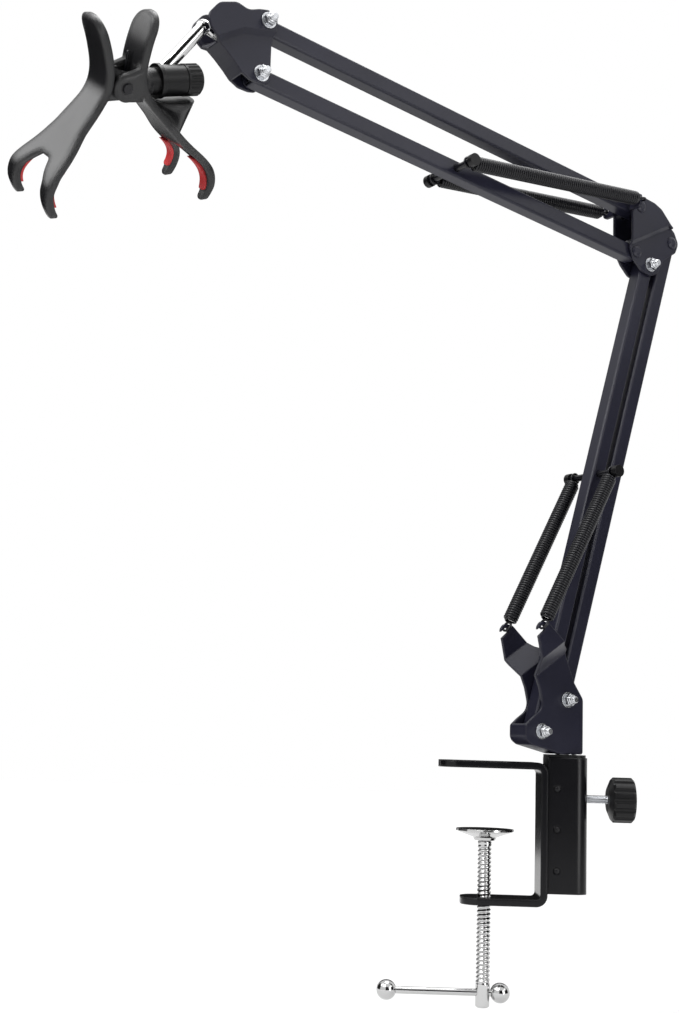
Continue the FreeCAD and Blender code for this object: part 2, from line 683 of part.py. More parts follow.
def pivot_stack(points, steps):
    """Bolts, nuts and washers of pivots: bolt heads on the far side, lock nuts on the near side."""
    bolts = []
    nuts = []
    washers = []
    r = BOLT_D / 2
    for p, step in zip(points, steps):
        face = CHEEK_OUT + step
        seat = face + WASHER_H
        end = seat + NUT_H + NUT_COLLAR_H + BOLT_END
        head = hex_prism(in_plane(p, seat), Y_AXIS, BOLT_HEAD_AF, BOLT_HEAD_H)
        bolts.append(fuse([cross_pin(p, r, -end, seat), head]))
        nut = hex_prism(in_plane(p, -seat), -Y_AXIS, NUT_AF, NUT_H)
        collar = cross_pin(p, NUT_AF / 2 - NUT_COLLAR_INSET, -seat - NUT_H - NUT_COLLAR_H, -seat - NUT_H)
        hole = cross_pin(p, r + SEAT, -BIG / 8, 0)
        nuts.append(fuse([nut, collar]).cut(hole))
        for y in (-seat, face):
            washer = cross_pin(p, WASHER_D / 2, y, y + WASHER_H)
            washers.append(washer.cut(cross_pin(p, r + SEAT, y - 1, y + WASHER_H + 1)))
    return Part.Compound(bolts), Part.Compound(nuts), Part.Compound(washers)


def pivot_rivets(points, steps):
    """Pivot rivets with a low dome on both cheeks."""
    rivets = []
    for p, step in zip(points, steps):
        face = CHEEK_OUT + step
        half = PIVOT_HEAD_D / 2
        top = face + PIVOT_HEAD_H
        profile = [(-top, 0), (-top, half - PIVOT_HEAD_EDGE), (-face - PIVOT_HEAD_H / 3, half),
                   (-face, half), (-face, BOLT_D / 2)]
        profile = profile + [(-a, r) for a, r in reversed(profile)]
        rivets.append(turned(profile, in_plane(p), Y_AXIS))
    return Part.Compound(rivets)


def spacers(p, step):
    """Spacer bushes between a tube and the stepped cheeks."""
    rings = []
    for y in (-CHEEK - step, CHEEK):
        ring = cross_pin(p, WASHER_D / 2, y, y + step)
        rings.append(ring.cut(cross_pin(p, BOLT_D / 2 + SEAT, y - 1, y + step + 1)))
    return Part.Compound(rings)


# Arm tubes and spring pins

def square_tube(start, angle, length, pin_at=None):
    """Square tube between two pivots with round-ended cheeks and its cross holes."""
    h = TUBE / 2
    c = TUBE_CORNER
    outer = [(-h, -h, c), (h, -h, c), (h, h, c), (-h, h, c)]
    i = h - TUBE_WALL
    inner = [(-i, -i, 0), (i, -i, 0), (i, i, 0), (-i, i, 0)]
    bar = Part.Face(rounded_wire(outer, lambda a, b: V(-h, a, b))).extrude(V(length + TUBE, 0, 0))
    core = Part.Face(rounded_wire(inner, lambda a, b: V(-TUBE, a, b))).extrude(V(length + 2 * TUBE, 0, 0))
    ends = plane_prism([(-h, -h, h), (length + h, -h, h), (length + h, h, h), (-h, h, h)], -TUBE, TUBE)
    holes = [cross_pin((x, 0), BOLT_D / 2 + RUN, -TUBE, TUBE) for x in (0, length)]
    if pin_at is not None:
        holes.append(cross_pin((pin_at, 0), PIN_D / 2 + SEAT, -TUBE, TUBE))
    tube = bar.common(ends).cut(Part.Compound([core] + holes))
    tube.rotate(V(0, 0, 0), Y_AXIS, -angle)
    tube.translate(in_plane(start))
    return tube


def spring_pin(p):
    """Pin through a tube that carries the two springs."""
    reach = SPRING_SIDE + PIN_OVERHANG
    return cross_pin(p, PIN_D / 2, -reach, reach)


def pin_caps(p):
    """Push-on caps at both ends of a spring pin."""
    reach = SPRING_SIDE + PIN_OVERHANG
    cap = cross_pin(p, PIN_CAP_D / 2, -reach - 1, -reach - 1 + PIN_CAP_H)
    cap = cap.cut(cross_pin(p, PIN_D / 2 + SEAT, -reach, 0))
    return Part.Compound([cap, mirror_y(cap)])


def loop(centre, axis):
    """Wire loop at a spring's end."""
    return Part.makeTorus(LOOP_R, SPRING_WIRE / 2, centre, axis)


def coil_body(a, b):
    """Closed coil between two points, with tapered ends."""
    axis = b.sub(a)
    length = axis.Length
    r = SPRING_D / 2
    w = SPRING_WIRE / 2
    profile = [(0, 0), (0, w), (SPRING_NECK, r), (length - SPRING_NECK, r), (length, w), (length, 0)]
    return turned(profile, a, axis)


def lower_spring():
    """Near spring of the lower arm, from the horn's eye to the pin."""
    eye = in_plane(HORN_EYE, -SPRING_SIDE)
    pin = in_plane(LOWER_PIN, -SPRING_SIDE)
    way = pin.sub(eye).normalize()
    low = eye + way * LOOP_R
    hook = loop(low, way.cross(Y_AXIS))
    coil = coil_body(low + way * LOOP_R, pin - way * LOOP_R)
    return fuse([coil, hook, loop(pin, Y_AXIS)])


def upper_spring():
    """Near spring of the upper arm, from the elbow's tab to the pin."""
    tab = in_plane(TAB_EYE, -SPRING_SIDE)
    pin = in_plane(UPPER_PIN, -SPRING_SIDE)
    way = pin.sub(tab).normalize()
    coil = coil_body(tab + way * LOOP_R, pin - way * LOOP_R)
    return fuse([coil, loop(tab, Z_AXIS), loop(pin, Y_AXIS)])


# Rod and pivot barrel

def swivel_rod():
    """Bent rod: threaded leg in the head bracket, knuckle and long leg into the barrel."""
    corner = in_plane(CORNER)
    end = in_plane(ROD_END)
    leg = cylinder(corner, leg_direction(), ROD_THREAD_D / 2, ROD_LEG)
    long_leg = cylinder(corner, end.sub(corner), ROD_D / 2, ROD_LENGTH)
    return fuse([leg, Part.makeSphere(ROD_KNUCKLE_D / 2, corner), long_leg])


def rod_nuts():
    """Nuts on both sides of the cross tab."""
    way = leg_direction()
    corner = in_plane(CORNER)
    nuts = []
    for start in (ROD_TAB_AT - SHEET / 2 - ROD_NUT_H, ROD_TAB_AT + SHEET / 2):
        nut = hex_prism(corner + way * start, way, ROD_NUT_AF, ROD_NUT_H)
        nuts.append(nut.cut(cylinder(corner, way, ROD_THREAD_D / 2 + RUN, ROD_LEG + 2)))
    return Part.Compound(nuts)


def pivot_barrel():
    """Barrel with the rod's slanting socket, a stud for the clip and one for the collar."""
    s = STUD_D / 2
    stud_end = BARREL_TO + COLLAR_LENGTH - 3
    stud_from = NECK_FROM - STUD_LENGTH
    profile = [(stud_from, 0), (stud_from, s), (NECK_FROM, s), (NECK_FROM, NECK_R), (FLANGE_FROM, NECK_R),
               (FLANGE_FROM, FLANGE_R), (BARREL_FROM, FLANGE_R), (BARREL_FROM, BARREL_R),
               (BARREL_TO, BARREL_R), (BARREL_TO, COLLAR_STUD_D / 2), (stud_end, COLLAR_STUD_D / 2),
               (stud_end, 0)]
    barrel = turned(profile, V(0, 0, 0), X_AXIS)
    a = math.radians(ROD_FALL - CLIP_PITCH)
    way = V(math.cos(a), 0, math.sin(a))
    socket = cylinder(V(HUB_TO_ROD, 0, 0) - way * GAP, way, ROD_D / 2 + RUN, ROD_LENGTH)
    return barrel.cut(socket)


def lock_collar():
    """Ribbed collar nut at the barrel's end."""
    x0 = BARREL_TO + GAP
    r = COLLAR_R
    edge = COLLAR_EDGE
    profile = [(0, 0), (0, r), (COLLAR_LENGTH - edge, r), (COLLAR_LENGTH, r - edge), (COLLAR_LENGTH, 0)]
    collar = turned(profile, V(x0, 0, 0), X_AXIS)
    cuts = [cylinder(V(x0 - 1, 0, 0), X_AXIS, COLLAR_STUD_D / 2 + RUN, COLLAR_LENGTH - edge)]
    for k in range(COLLAR_GROOVES):
        a = 2 * math.pi * (k + 0.5) / COLLAR_GROOVES
        out = r + COLLAR_GROOVE_OUT
        p = V(x0 + edge, out * math.cos(a), out * math.sin(a))
        cuts.append(cylinder(p, X_AXIS, COLLAR_GROOVE_R, COLLAR_LENGTH))
    return collar.cut(Part.Compound(cuts))


# Clip

JAW_WAIST = 11.8            # middle of the plate at the hinge
JAW_LINE = [(24.5, 47), (16, 27), (12.2, 12), (JAW_WAIST, 2), (16, -8.5), (23, -18), (30, -26.5),
            (37.5, -36), (44.5, -43.5), (51, -50), (55.5, -58), (55.8, -66), (52, -74), (48, -79)]


def jaw_curve(offset):
    """Side line of a jaw, moved outwards by an offset: points and the spline through them."""
    line = Part.BSplineCurve()
    line.interpolate([V(x, 0, z) for x, z in JAW_LINE])
    first = line.FirstParameter
    last = line.LastParameter
    pts = []
    for k in range(15):
        t = first + (last - first) * k / 14
        p = line.value(t)
        d = line.tangent(t)[0]
        pts.append(p + V(-d.z, 0, d.x) * offset)
    curve = Part.BSplineCurve()
    curve.interpolate(pts)
    return curve, pts[0], pts[-1]


def jaw_band(inner, outer, half):
    """Curved plate between two offsets of the jaw's side line."""
    a, a0, a1 = jaw_curve(inner)
    b, b0, b1 = jaw_curve(outer)
    ends = [Part.LineSegment(a1, b1).toShape(), Part.LineSegment(b0, a0).toShape()]
    edges = [a.toShape(), b.toShape()] + ends
    face = Part.Face(Part.Wire(Part.sortEdges(edges)[0]))
    face.translate(V(0, -half, 0))
    return face.extrude(V(0, 2 * half, 0))


def front_prism(points):
    """Prism along x of an outline seen from the front."""
    wire = rounded_wire(points, lambda a, b: V(-10, a, b))
    return Part.Face(wire).extrude(V(BIG / 4, 0, 0))


def jaw_outline():
    """Front outline of a jaw: round ear, waist and a fork of two prongs."""
    half = [(12.5, 43, 12), (13, 20, 14), (13, 2, 14), (13, -10, 14), (16, -27, 14), (22, -41, 14),
            (28, -54, 10), (28.5, -66, 8), (26.5, -76, 2.8), (20.5, -76, 2.8), (18.5, -66, 8),
            (16, -55, 8), (6.5, -44.5, 6)]
    other = [(-a, b, r) for a, b, r in reversed(half)]
    return half + other


def prong_window():
    """Front outline of the pads: two strips down the prongs."""
    def strip(s):
        return [(s * 14.0, PAD_FROM, 1.5), (s * 21.5, PAD_FROM, 1.5), (s * 26.5, PAD_TO, 1.5),
                (s * 20.5, PAD_TO, 1.5)]
    return [strip(1), strip(-1)]


def knuckles(inner, outer, towards):
    """Two hinge knuckles with cheeks that widen to the jaw plate."""
    r = KNUCKLE_R - 0.2
    side = [(0, r, 0), (towards * JAW_WAIST, CHEEK_TOP, 0), (towards * JAW_WAIST, CHEEK_LOW, 0), (0, -r, 0)]
    parts = []
    for s in (-1, 1):
        y0 = min(s * inner, s * outer)
        ring = cylinder(V(0, y0, 0), Y_AXIS, KNUCKLE_R, outer - inner)
        parts.append(fuse([ring, plane_prism(side, y0, y0 + outer - inner)]))
    return parts


def jaw_plate():
    """Right-hand jaw plate: side band trimmed to the front outline, with rounded edges."""
    half = JAW_THICK / 2
    plate = jaw_band(-half, half, BAND_HALF).common(front_prism(jaw_outline()))
    return plate.makeFillet(JAW_EDGE, plate.Edges)


def splayed(shape):
    """A shape of the fixed jaw, turned about the hinge by the jaw's extra opening."""
    s = shape.copy()
    s.rotate(V(0, 0, 0), Y_AXIS, -FIXED_SPLAY)
    return s


def pads(mirrored):
    """Rubber pads on the inside of the prongs."""
    half = JAW_THICK / 2
    band = jaw_band(-half - PAD_THICK, -half, BAND_HALF)
    solids = [band.common(front_prism(points)) for points in prong_window()]
    if mirrored:
        return Part.Compound([s.mirror(V(0, 0, 0), X_AXIS) for s in solids])
    return splayed(Part.Compound(solids))


def cowl():
    """Tapered cowl under the barrel, on the outside of the fixed jaw."""
    top = Part.Wire(Part.makeCircle(COWL_TOP_R, in_plane(COWL_TOP), Z_AXIS))
    low = Part.Wire(Part.makeCircle(COWL_TIP_R, in_plane(COWL_TIP), Z_AXIS))
    cone = Part.makeLoft([top, low], True)
    curve, start, end = jaw_curve(0)
    edges = [curve.toShape(), Part.LineSegment(end, V(-60, 0, end.z)).toShape(),
             Part.LineSegment(V(-60, 0, end.z), V(-60, 0, start.z)).toShape(),
             Part.LineSegment(V(-60, 0, start.z), start).toShape()]
    inside = Part.Face(Part.Wire(Part.sortEdges(edges)[0]))
    inside.translate(V(0, -40, 0))
    return cone.cut(splayed(inside.extrude(V(0, 80, 0))))


def fixed_jaw():
    """Jaw on the pivot: plate, outer knuckles, pivot boss and cowl in one moulding."""
    boss = cylinder(V(JAW_WAIST, 0, 0), X_AXIS, BOSS_R, NECK_FROM - GAP - JAW_WAIST)
    body = fuse([splayed(jaw_plate()), boss, cowl()] + knuckles(KNUCKLE_MID, KNUCKLE_OUT, 1))
    stud = cylinder(V(NECK_FROM - STUD_LENGTH - GAP, 0, 0), X_AXIS, STUD_D / 2 + RUN, STUD_LENGTH + 2)
    hinge = cylinder(V(0, -2 * KNUCKLE_OUT, 0), Y_AXIS, HINGE_D / 2 + SEAT, 4 * KNUCKLE_OUT)
    return body.cut(Part.Compound([stud, hinge]))


def moving_jaw():
    """Opposite jaw: plate and inner knuckles."""
    plate = jaw_plate().mirror(V(0, 0, 0), X_AXIS)
    body = fuse([plate] + knuckles(KNUCKLE_IN, KNUCKLE_MID - GAP, -1))
    return body.cut(cylinder(V(0, -2 * KNUCKLE_OUT, 0), Y_AXIS, HINGE_D / 2 + RUN, 4 * KNUCKLE_OUT))


def hinge_pin():
    """Headed pin through both jaws."""
    y = KNUCKLE_OUT
    top = y + HINGE_HEAD_H
    r = HINGE_HEAD_D / 2
    half = [(-top, 0), (-top, r - HINGE_HEAD_EDGE), (-y, r), (-y, HINGE_D / 2)]
    return turned(half + [(-a, b) for a, b in reversed(half)], V(0, 0, 0), Y_AXIS)


def torsion_spring():
    """Torsion spring on the hinge pin: its coil and a leg to each ear."""
    half = KNUCKLE_IN - GAP
    w = TORSION_WIRE / 2
    coil = cylinder(V(0, -half, 0), Y_AXIS, TORSION_R + w, 2 * half)
    coil = coil.cut(cylinder(V(0, -2 * half, 0), Y_AXIS, TORSION_R - w, 4 * half))
    legs = []
    for s in (-1, 1):
        start = V(s * TORSION_R, s * (half - 2 * w), 0)
        end = V(s * TORSION_LEG[0], s * (half - 2 * w), TORSION_LEG[1])
        legs.append(cylinder(start, end.sub(start), 0.8 * w, end.sub(start).Length))
    return fuse([coil] + legs)


def nodes():
    """Every piece of the stand by name, in place."""
    lower = 90 - LOWER_LEAN
    upper = 180 - UPPER_RISE
    out = {"clamp_bracket": clamp_bracket(), "sleeve_shell": sleeve_shell(), "post_liner": post_liner(),
           "sleeve_rivets": sleeve_rivets(), "lock_screw": lock_screw(), "lock_knob": lock_knob(),
           "foot_cup": foot_cup(), "clamp_screw": clamp_screw(), "tommy_bar": tommy_bar(),
           "tommy_bar_balls": tommy_bar_balls()}
    arm = {"swivel_post": swivel_post(), "base_bracket": base_bracket(), "elbow_bracket": elbow_bracket(),
           "head_bracket": head_bracket(), "elbow_spacers": spacers(ELBOW_TOP, ELBOW_STEP),
           "head_spacers": spacers(HEAD_TOP, HEAD_STEP),
           "lower_front_tube": square_tube(BASE_PIVOT, lower, LOWER_LENGTH, LOWER_PIN_AT),
           "lower_rear_tube": square_tube(BASE_REAR, lower, LOWER_LENGTH),
           "upper_bottom_tube": square_tube(ELBOW_BOTTOM, upper, UPPER_LENGTH, UPPER_PIN_AT),
           "upper_top_tube": square_tube(ELBOW_TOP, upper, UPPER_LENGTH),
           "lower_spring_pin": spring_pin(LOWER_PIN), "lower_pin_caps": pin_caps(LOWER_PIN),
           "upper_spring_pin": spring_pin(UPPER_PIN), "upper_pin_caps": pin_caps(UPPER_PIN),
           "elbow_rivets": pivot_rivets([ELBOW_REAR, ELBOW_BOTTOM, ELBOW_TOP], [0, 0, ELBOW_STEP]),
           "swivel_rod": swivel_rod(), "rod_nuts": rod_nuts()}
    stacks = {"base": ([BASE_PIVOT, BASE_REAR], [0, 0]),
              "elbow": ([ELBOW_FRONT], [0]),
              "head": ([HEAD_BOTTOM, HEAD_TOP], [0, HEAD_STEP])}
    for name, (points, steps) in stacks.items():
        bolts, nuts, washers = pivot_stack(points, steps)
        arm.update({name + "_bolts": bolts, name + "_nuts": nuts, name + "_washers": washers})
    for name, spring in (("lower", lower_spring()), ("upper", upper_spring())):
        arm.update({name + "_spring_near": spring, name + "_spring_far": mirror_y(spring)})
    pivot = {"pivot_barrel": pivot_barrel(), "lock_collar": lock_collar()}
    clip = {"fixed_jaw": fixed_jaw(), "moving_jaw": moving_jaw(), "hinge_pin": hinge_pin(),
            "torsion_spring": torsion_spring(), "fixed_jaw_pads": pads(False),
            "moving_jaw_pads": pads(True)}
    out.update({name: place_arm(s) for name, s in arm.items()})
    out.update({name: place_pivot(s) for name, s in pivot.items()})
    out.update({name: place_clip(s) for name, s in clip.items()})
    return out


def main():
    """Build every piece and write one file each."""
    os.makedirs("parts", exist_ok=True)
    for name, shape in nodes().items():
        solids = shape.Solids
        valid = all(s.isValid() and s.Volume > 0 for s in solids)
        volume = round(sum(s.Volume for s in solids), 1)
        print(name, len(solids), "solids", volume, "mm3", "" if valid else "NOT VALID")
        shape.exportStep("parts/" + name + ".step")


if __name__ == "__main__":
    main()
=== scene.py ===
"""Articulating arm phone stand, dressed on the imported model.

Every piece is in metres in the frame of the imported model. The arm's own plane has u
backwards and z up; it is turned about the swivel post.
"""
from __future__ import annotations

import json
import logging
import math
from dataclasses import dataclass, field
from enum import Enum

import bpy
import numpy as np
from mathutils import Matrix, Vector


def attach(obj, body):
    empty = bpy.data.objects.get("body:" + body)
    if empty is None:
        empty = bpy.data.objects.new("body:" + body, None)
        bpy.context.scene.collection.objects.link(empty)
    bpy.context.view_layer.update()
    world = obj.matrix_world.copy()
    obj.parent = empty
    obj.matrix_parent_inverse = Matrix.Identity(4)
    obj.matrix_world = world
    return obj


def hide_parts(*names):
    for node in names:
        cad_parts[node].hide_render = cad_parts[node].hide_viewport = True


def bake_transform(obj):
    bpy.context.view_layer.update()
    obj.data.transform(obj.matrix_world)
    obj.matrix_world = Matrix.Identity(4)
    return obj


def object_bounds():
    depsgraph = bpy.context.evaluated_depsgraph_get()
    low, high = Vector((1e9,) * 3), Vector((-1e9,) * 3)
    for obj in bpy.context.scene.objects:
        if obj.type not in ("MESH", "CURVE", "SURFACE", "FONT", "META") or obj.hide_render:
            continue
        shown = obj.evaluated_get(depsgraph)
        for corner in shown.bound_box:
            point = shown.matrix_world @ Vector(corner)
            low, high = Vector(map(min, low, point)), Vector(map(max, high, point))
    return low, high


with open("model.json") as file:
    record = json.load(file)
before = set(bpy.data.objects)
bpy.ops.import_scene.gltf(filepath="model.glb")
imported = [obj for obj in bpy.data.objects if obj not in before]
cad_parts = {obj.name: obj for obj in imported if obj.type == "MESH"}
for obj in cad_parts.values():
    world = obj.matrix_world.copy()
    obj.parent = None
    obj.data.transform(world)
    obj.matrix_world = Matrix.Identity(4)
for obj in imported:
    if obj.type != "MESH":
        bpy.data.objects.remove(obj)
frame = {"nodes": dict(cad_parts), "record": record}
CAD_BOX = [[float(c) for c in corner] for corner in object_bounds()]
LOG = logging.getLogger("phone_stand")
MM = 0.001
# Directions that the first point of a turned ring leans to, for a sloping and for an upright axis
SLANT_HINT = np.array([0.3, 0.2, 0.9])
LEVEL_HINT = np.array([1.0, 0.0, 0.0])
NEARLY_UPRIGHT = 0.8


class Side(Enum):
    """Side of the arm plane that a piece lies on, as a sign along the plane's normal."""

    NEAR = -1
    FAR = 1


@dataclass(frozen=True)
class ArmPlane:
    """The upright plane of the arm: yaw about the post and the post's place."""

    yaw_deg: float = 33.5
    post_x: float = 57.5

    def axes(self) -> tuple[np.ndarray, np.ndarray, np.ndarray]:
        """Directions of u, of the far side and of z in space."""
        a = math.radians(self.yaw_deg)
        return (np.array([math.cos(a), math.sin(a), 0.0]), np.array([-math.sin(a), math.cos(a), 0.0]),
                np.array([0.0, 0.0, 1.0]))

    def point(self, u: float, y: float, z: float) -> np.ndarray:
        """Space point in metres of a plane point in millimetres.

        Args:
            u: distance behind the post.
            y: distance towards the far side.
            z: height.

        Returns:
            The point as an array of three.
        """
        eu, ey, ez = self.axes()
        return (np.array([self.post_x, 0.0, 0.0]) + u * eu + y * ey + z * ez) * MM


PLANE = ArmPlane()


@dataclass(frozen=True)
class ClipFrame:
    """The clip's own frame: x to the barrel, y along the hinge, z to the ears."""

    hub: tuple[float, float] = (-378.94, 418.5)
    pitch_deg: float = 17.5
    roll_deg: float = 36.7

    def points(self, local: np.ndarray) -> np.ndarray:
        """Space points in metres of points drawn upright about the hinge, in millimetres.

        Args:
            local: points of shape (n, 3).

        Returns:
            Points of the same shape.
        """
        p, r = math.radians(self.pitch_deg), math.radians(self.roll_deg)
        pitch = np.array([[math.cos(p), 0, -math.sin(p)], [0, 1, 0], [math.sin(p), 0, math.cos(p)]])
        roll = np.array([[1, 0, 0], [0, math.cos(r), -math.sin(r)], [0, math.sin(r), math.cos(r)]])
        arm = np.stack(PLANE.axes(), axis=1)
        return PLANE.point(self.hub[0], 0.0, self.hub[1]) + local @ (arm @ pitch @ roll).T * MM


CLIP = ClipFrame()


def unit(v: np.ndarray) -> np.ndarray:
    """The vector at length one."""
    return v / np.linalg.norm(v)


def side_frame(axis: np.ndarray, hint: np.ndarray) -> tuple[np.ndarray, np.ndarray]:
    """Two directions across an axis, the first as near as can be to a hint.

    Args:
        axis: unit direction of the axis.
        hint: direction that the first result leans to.

    Returns:
        Two unit vectors that make a right-handed set with the axis.
    """
    a = unit(hint - axis * float(hint @ axis))
    return a, np.cross(axis, a)


@dataclass
class Shell:
    """Vertices and faces of a closed surface, collected before they become a mesh."""

    points: np.ndarray = field(default_factory=lambda: np.zeros((0, 3)))
    faces: list[list[int]] = field(default_factory=list)

    def add_tube(self, grid: np.ndarray) -> None:
        """Add a surface of closed rings, capped at both ends.

        The grid's first index runs along the path and its second round the ring; each
        quad joins two neighbours of two neighbouring rings.

        Args:
            grid: points of shape (rings, ring points, 3).
        """
        n, m, _ = grid.shape
        base = len(self.points)
        i, j = np.meshgrid(np.arange(n - 1), np.arange(m), indexing="ij")
        k = (j + 1) % m
        corners = [i * m + j, i * m + k, (i + 1) * m + k, (i + 1) * m + j]
        self.faces += (np.stack(corners, axis=-1).reshape(-1, 4) + base).tolist()
        self.faces.append((np.arange(m)[::-1] + base).tolist())
        self.faces.append((np.arange(m) + base + (n - 1) * m).tolist())
        self.points = np.concatenate([self.points, grid.reshape(-1, 3)])

    def to_object(self, name: str) -> bpy.types.Object:
        """Make the mesh object, with smooth faces.

        Args:
            name: name of the object and its mesh.

        Returns:
            The new object, linked to the scene.
        """
        mesh = bpy.data.meshes.new(name)
        mesh.from_pydata(self.points.tolist(), [], self.faces)
        mesh.polygons.foreach_set("use_smooth", np.ones(len(mesh.polygons), dtype=bool))
        mesh.update()
        obj = bpy.data.objects.new(name, mesh)
        bpy.context.scene.collection.objects.link(obj)
        return obj


def ring_tube(path: np.ndarray, normal: np.ndarray, radius: float, sides: int) -> np.ndarray:
    """Round tube along a path: path point plus radius times a turn of (normal, binormal).

    Args:
        path: points of shape (n, 3).
        normal: direction across the path at every point, of shape (n, 3).
        radius: radius of the tube.
        sides: points round the tube.

    Returns:
        Grid of shape (n, sides, 3).
    """
    tangent = np.gradient(path, axis=0)
    tangent /= np.linalg.norm(tangent, axis=1, keepdims=True)
    a = normal - tangent * np.sum(normal * tangent, axis=1, keepdims=True)
    a /= np.linalg.norm(a, axis=1, keepdims=True)
    b = np.cross(tangent, a)
    phi = np.linspace(0, 2 * np.pi, sides, endpoint=False)
    return path[:, None, :] + radius * (np.cos(phi)[None, :, None] * a[:, None, :]
                                        + np.sin(phi)[None, :, None] * b[:, None, :])


def lathe(profile: np.ndarray, origin: np.ndarray, axis: np.ndarray, sides: int) -> np.ndarray:
    """Surface of revolution: axis point plus the profile's radius times a full turn.

    Args:
        profile: (along, radius) pairs of shape (n, 2).
        origin: point on the axis.
        axis: unit direction of the axis.
        sides: points round the turn.

    Returns:
        Grid of shape (n, sides, 3).
    """
    a, b = side_frame(axis, SLANT_HINT if abs(axis[2]) < NEARLY_UPRIGHT else LEVEL_HINT)
    phi = np.linspace(0, 2 * np.pi, sides, endpoint=False)
    turn = np.cos(phi)[:, None] * a + np.sin(phi)[:, None] * b
    return origin + profile[:, 0, None, None] * axis + profile[:, 1, None, None] * turn[None, :, :]


@dataclass(frozen=True)
class NodeTree:
    """A node tree with short calls to add nodes and links."""

    tree: bpy.types.NodeTree

    def add(self, kind: str, **sockets: object) -> bpy.types.Node:
        """Add a node and set input sockets by name, with underscores for spaces.

        Args:
            kind: type name of the node.
            sockets: values for the node's inputs.

        Returns:
            The new node.
        """
        node = self.tree.nodes.new(kind)
        for name, value in sockets.items():
            node.inputs[name.replace("_", " ")].default_value = value
        return node

    def math(self, operation: str, a: object, b: object, clamp: bool = False) -> bpy.types.NodeSocket:
        """Add a math node on two sockets or numbers.

        Args:
            operation: name of the operation.
            a: first socket or number.
            b: second socket or number.
            clamp: keep the result between zero and one.

        Returns:
            The node's output.
        """
        node = self.tree.nodes.new("ShaderNodeMath")
        node.operation = operation
        node.use_clamp = clamp
        for k, value in enumerate((a, b)):
            if isinstance(value, bpy.types.NodeSocket):
                self.tree.links.new(value, node.inputs[k])
            else:
                node.inputs[k].default_value = value
        return node.outputs[0]

    def link(self, a: bpy.types.NodeSocket, b: bpy.types.NodeSocket) -> None:
        """Join an output to an input."""
        self.tree.links.new(a, b)

    def group(self, tree: bpy.types.NodeTree, **sockets: float) -> bpy.types.Node:
        """Add a shared node group and set its inputs.

        Args:
            tree: the group's tree.
            sockets: values for the group's inputs, by name.

        Returns:
            The new node.
        """
        node = self.add("ShaderNodeGroup")
        node.node_tree = tree
        for name, value in sockets.items():
            node.inputs[name].default_value = value
        return node

    def mix(self) -> bpy.types.Node:
        """Add a node that mixes two colours.

        Returns:
            The new node.
        """
        node = self.add("ShaderNodeMix")
        node.data_type = "RGBA"
        return node

    def seen(self) -> bpy.types.NodeSocket:
        """Tell rays from the eye, from a reflection or through glass from the rest.

        Returns:
            A socket that is one for those rays and nothing for the rest.
        """
        path = self.add("ShaderNodeLightPath")
        onward = self.math("MAXIMUM", path.outputs["Is Glossy Ray"], path.outputs["Is Transmission Ray"])
        return self.math("MAXIMUM", path.outputs["Is Camera Ray"], onward)


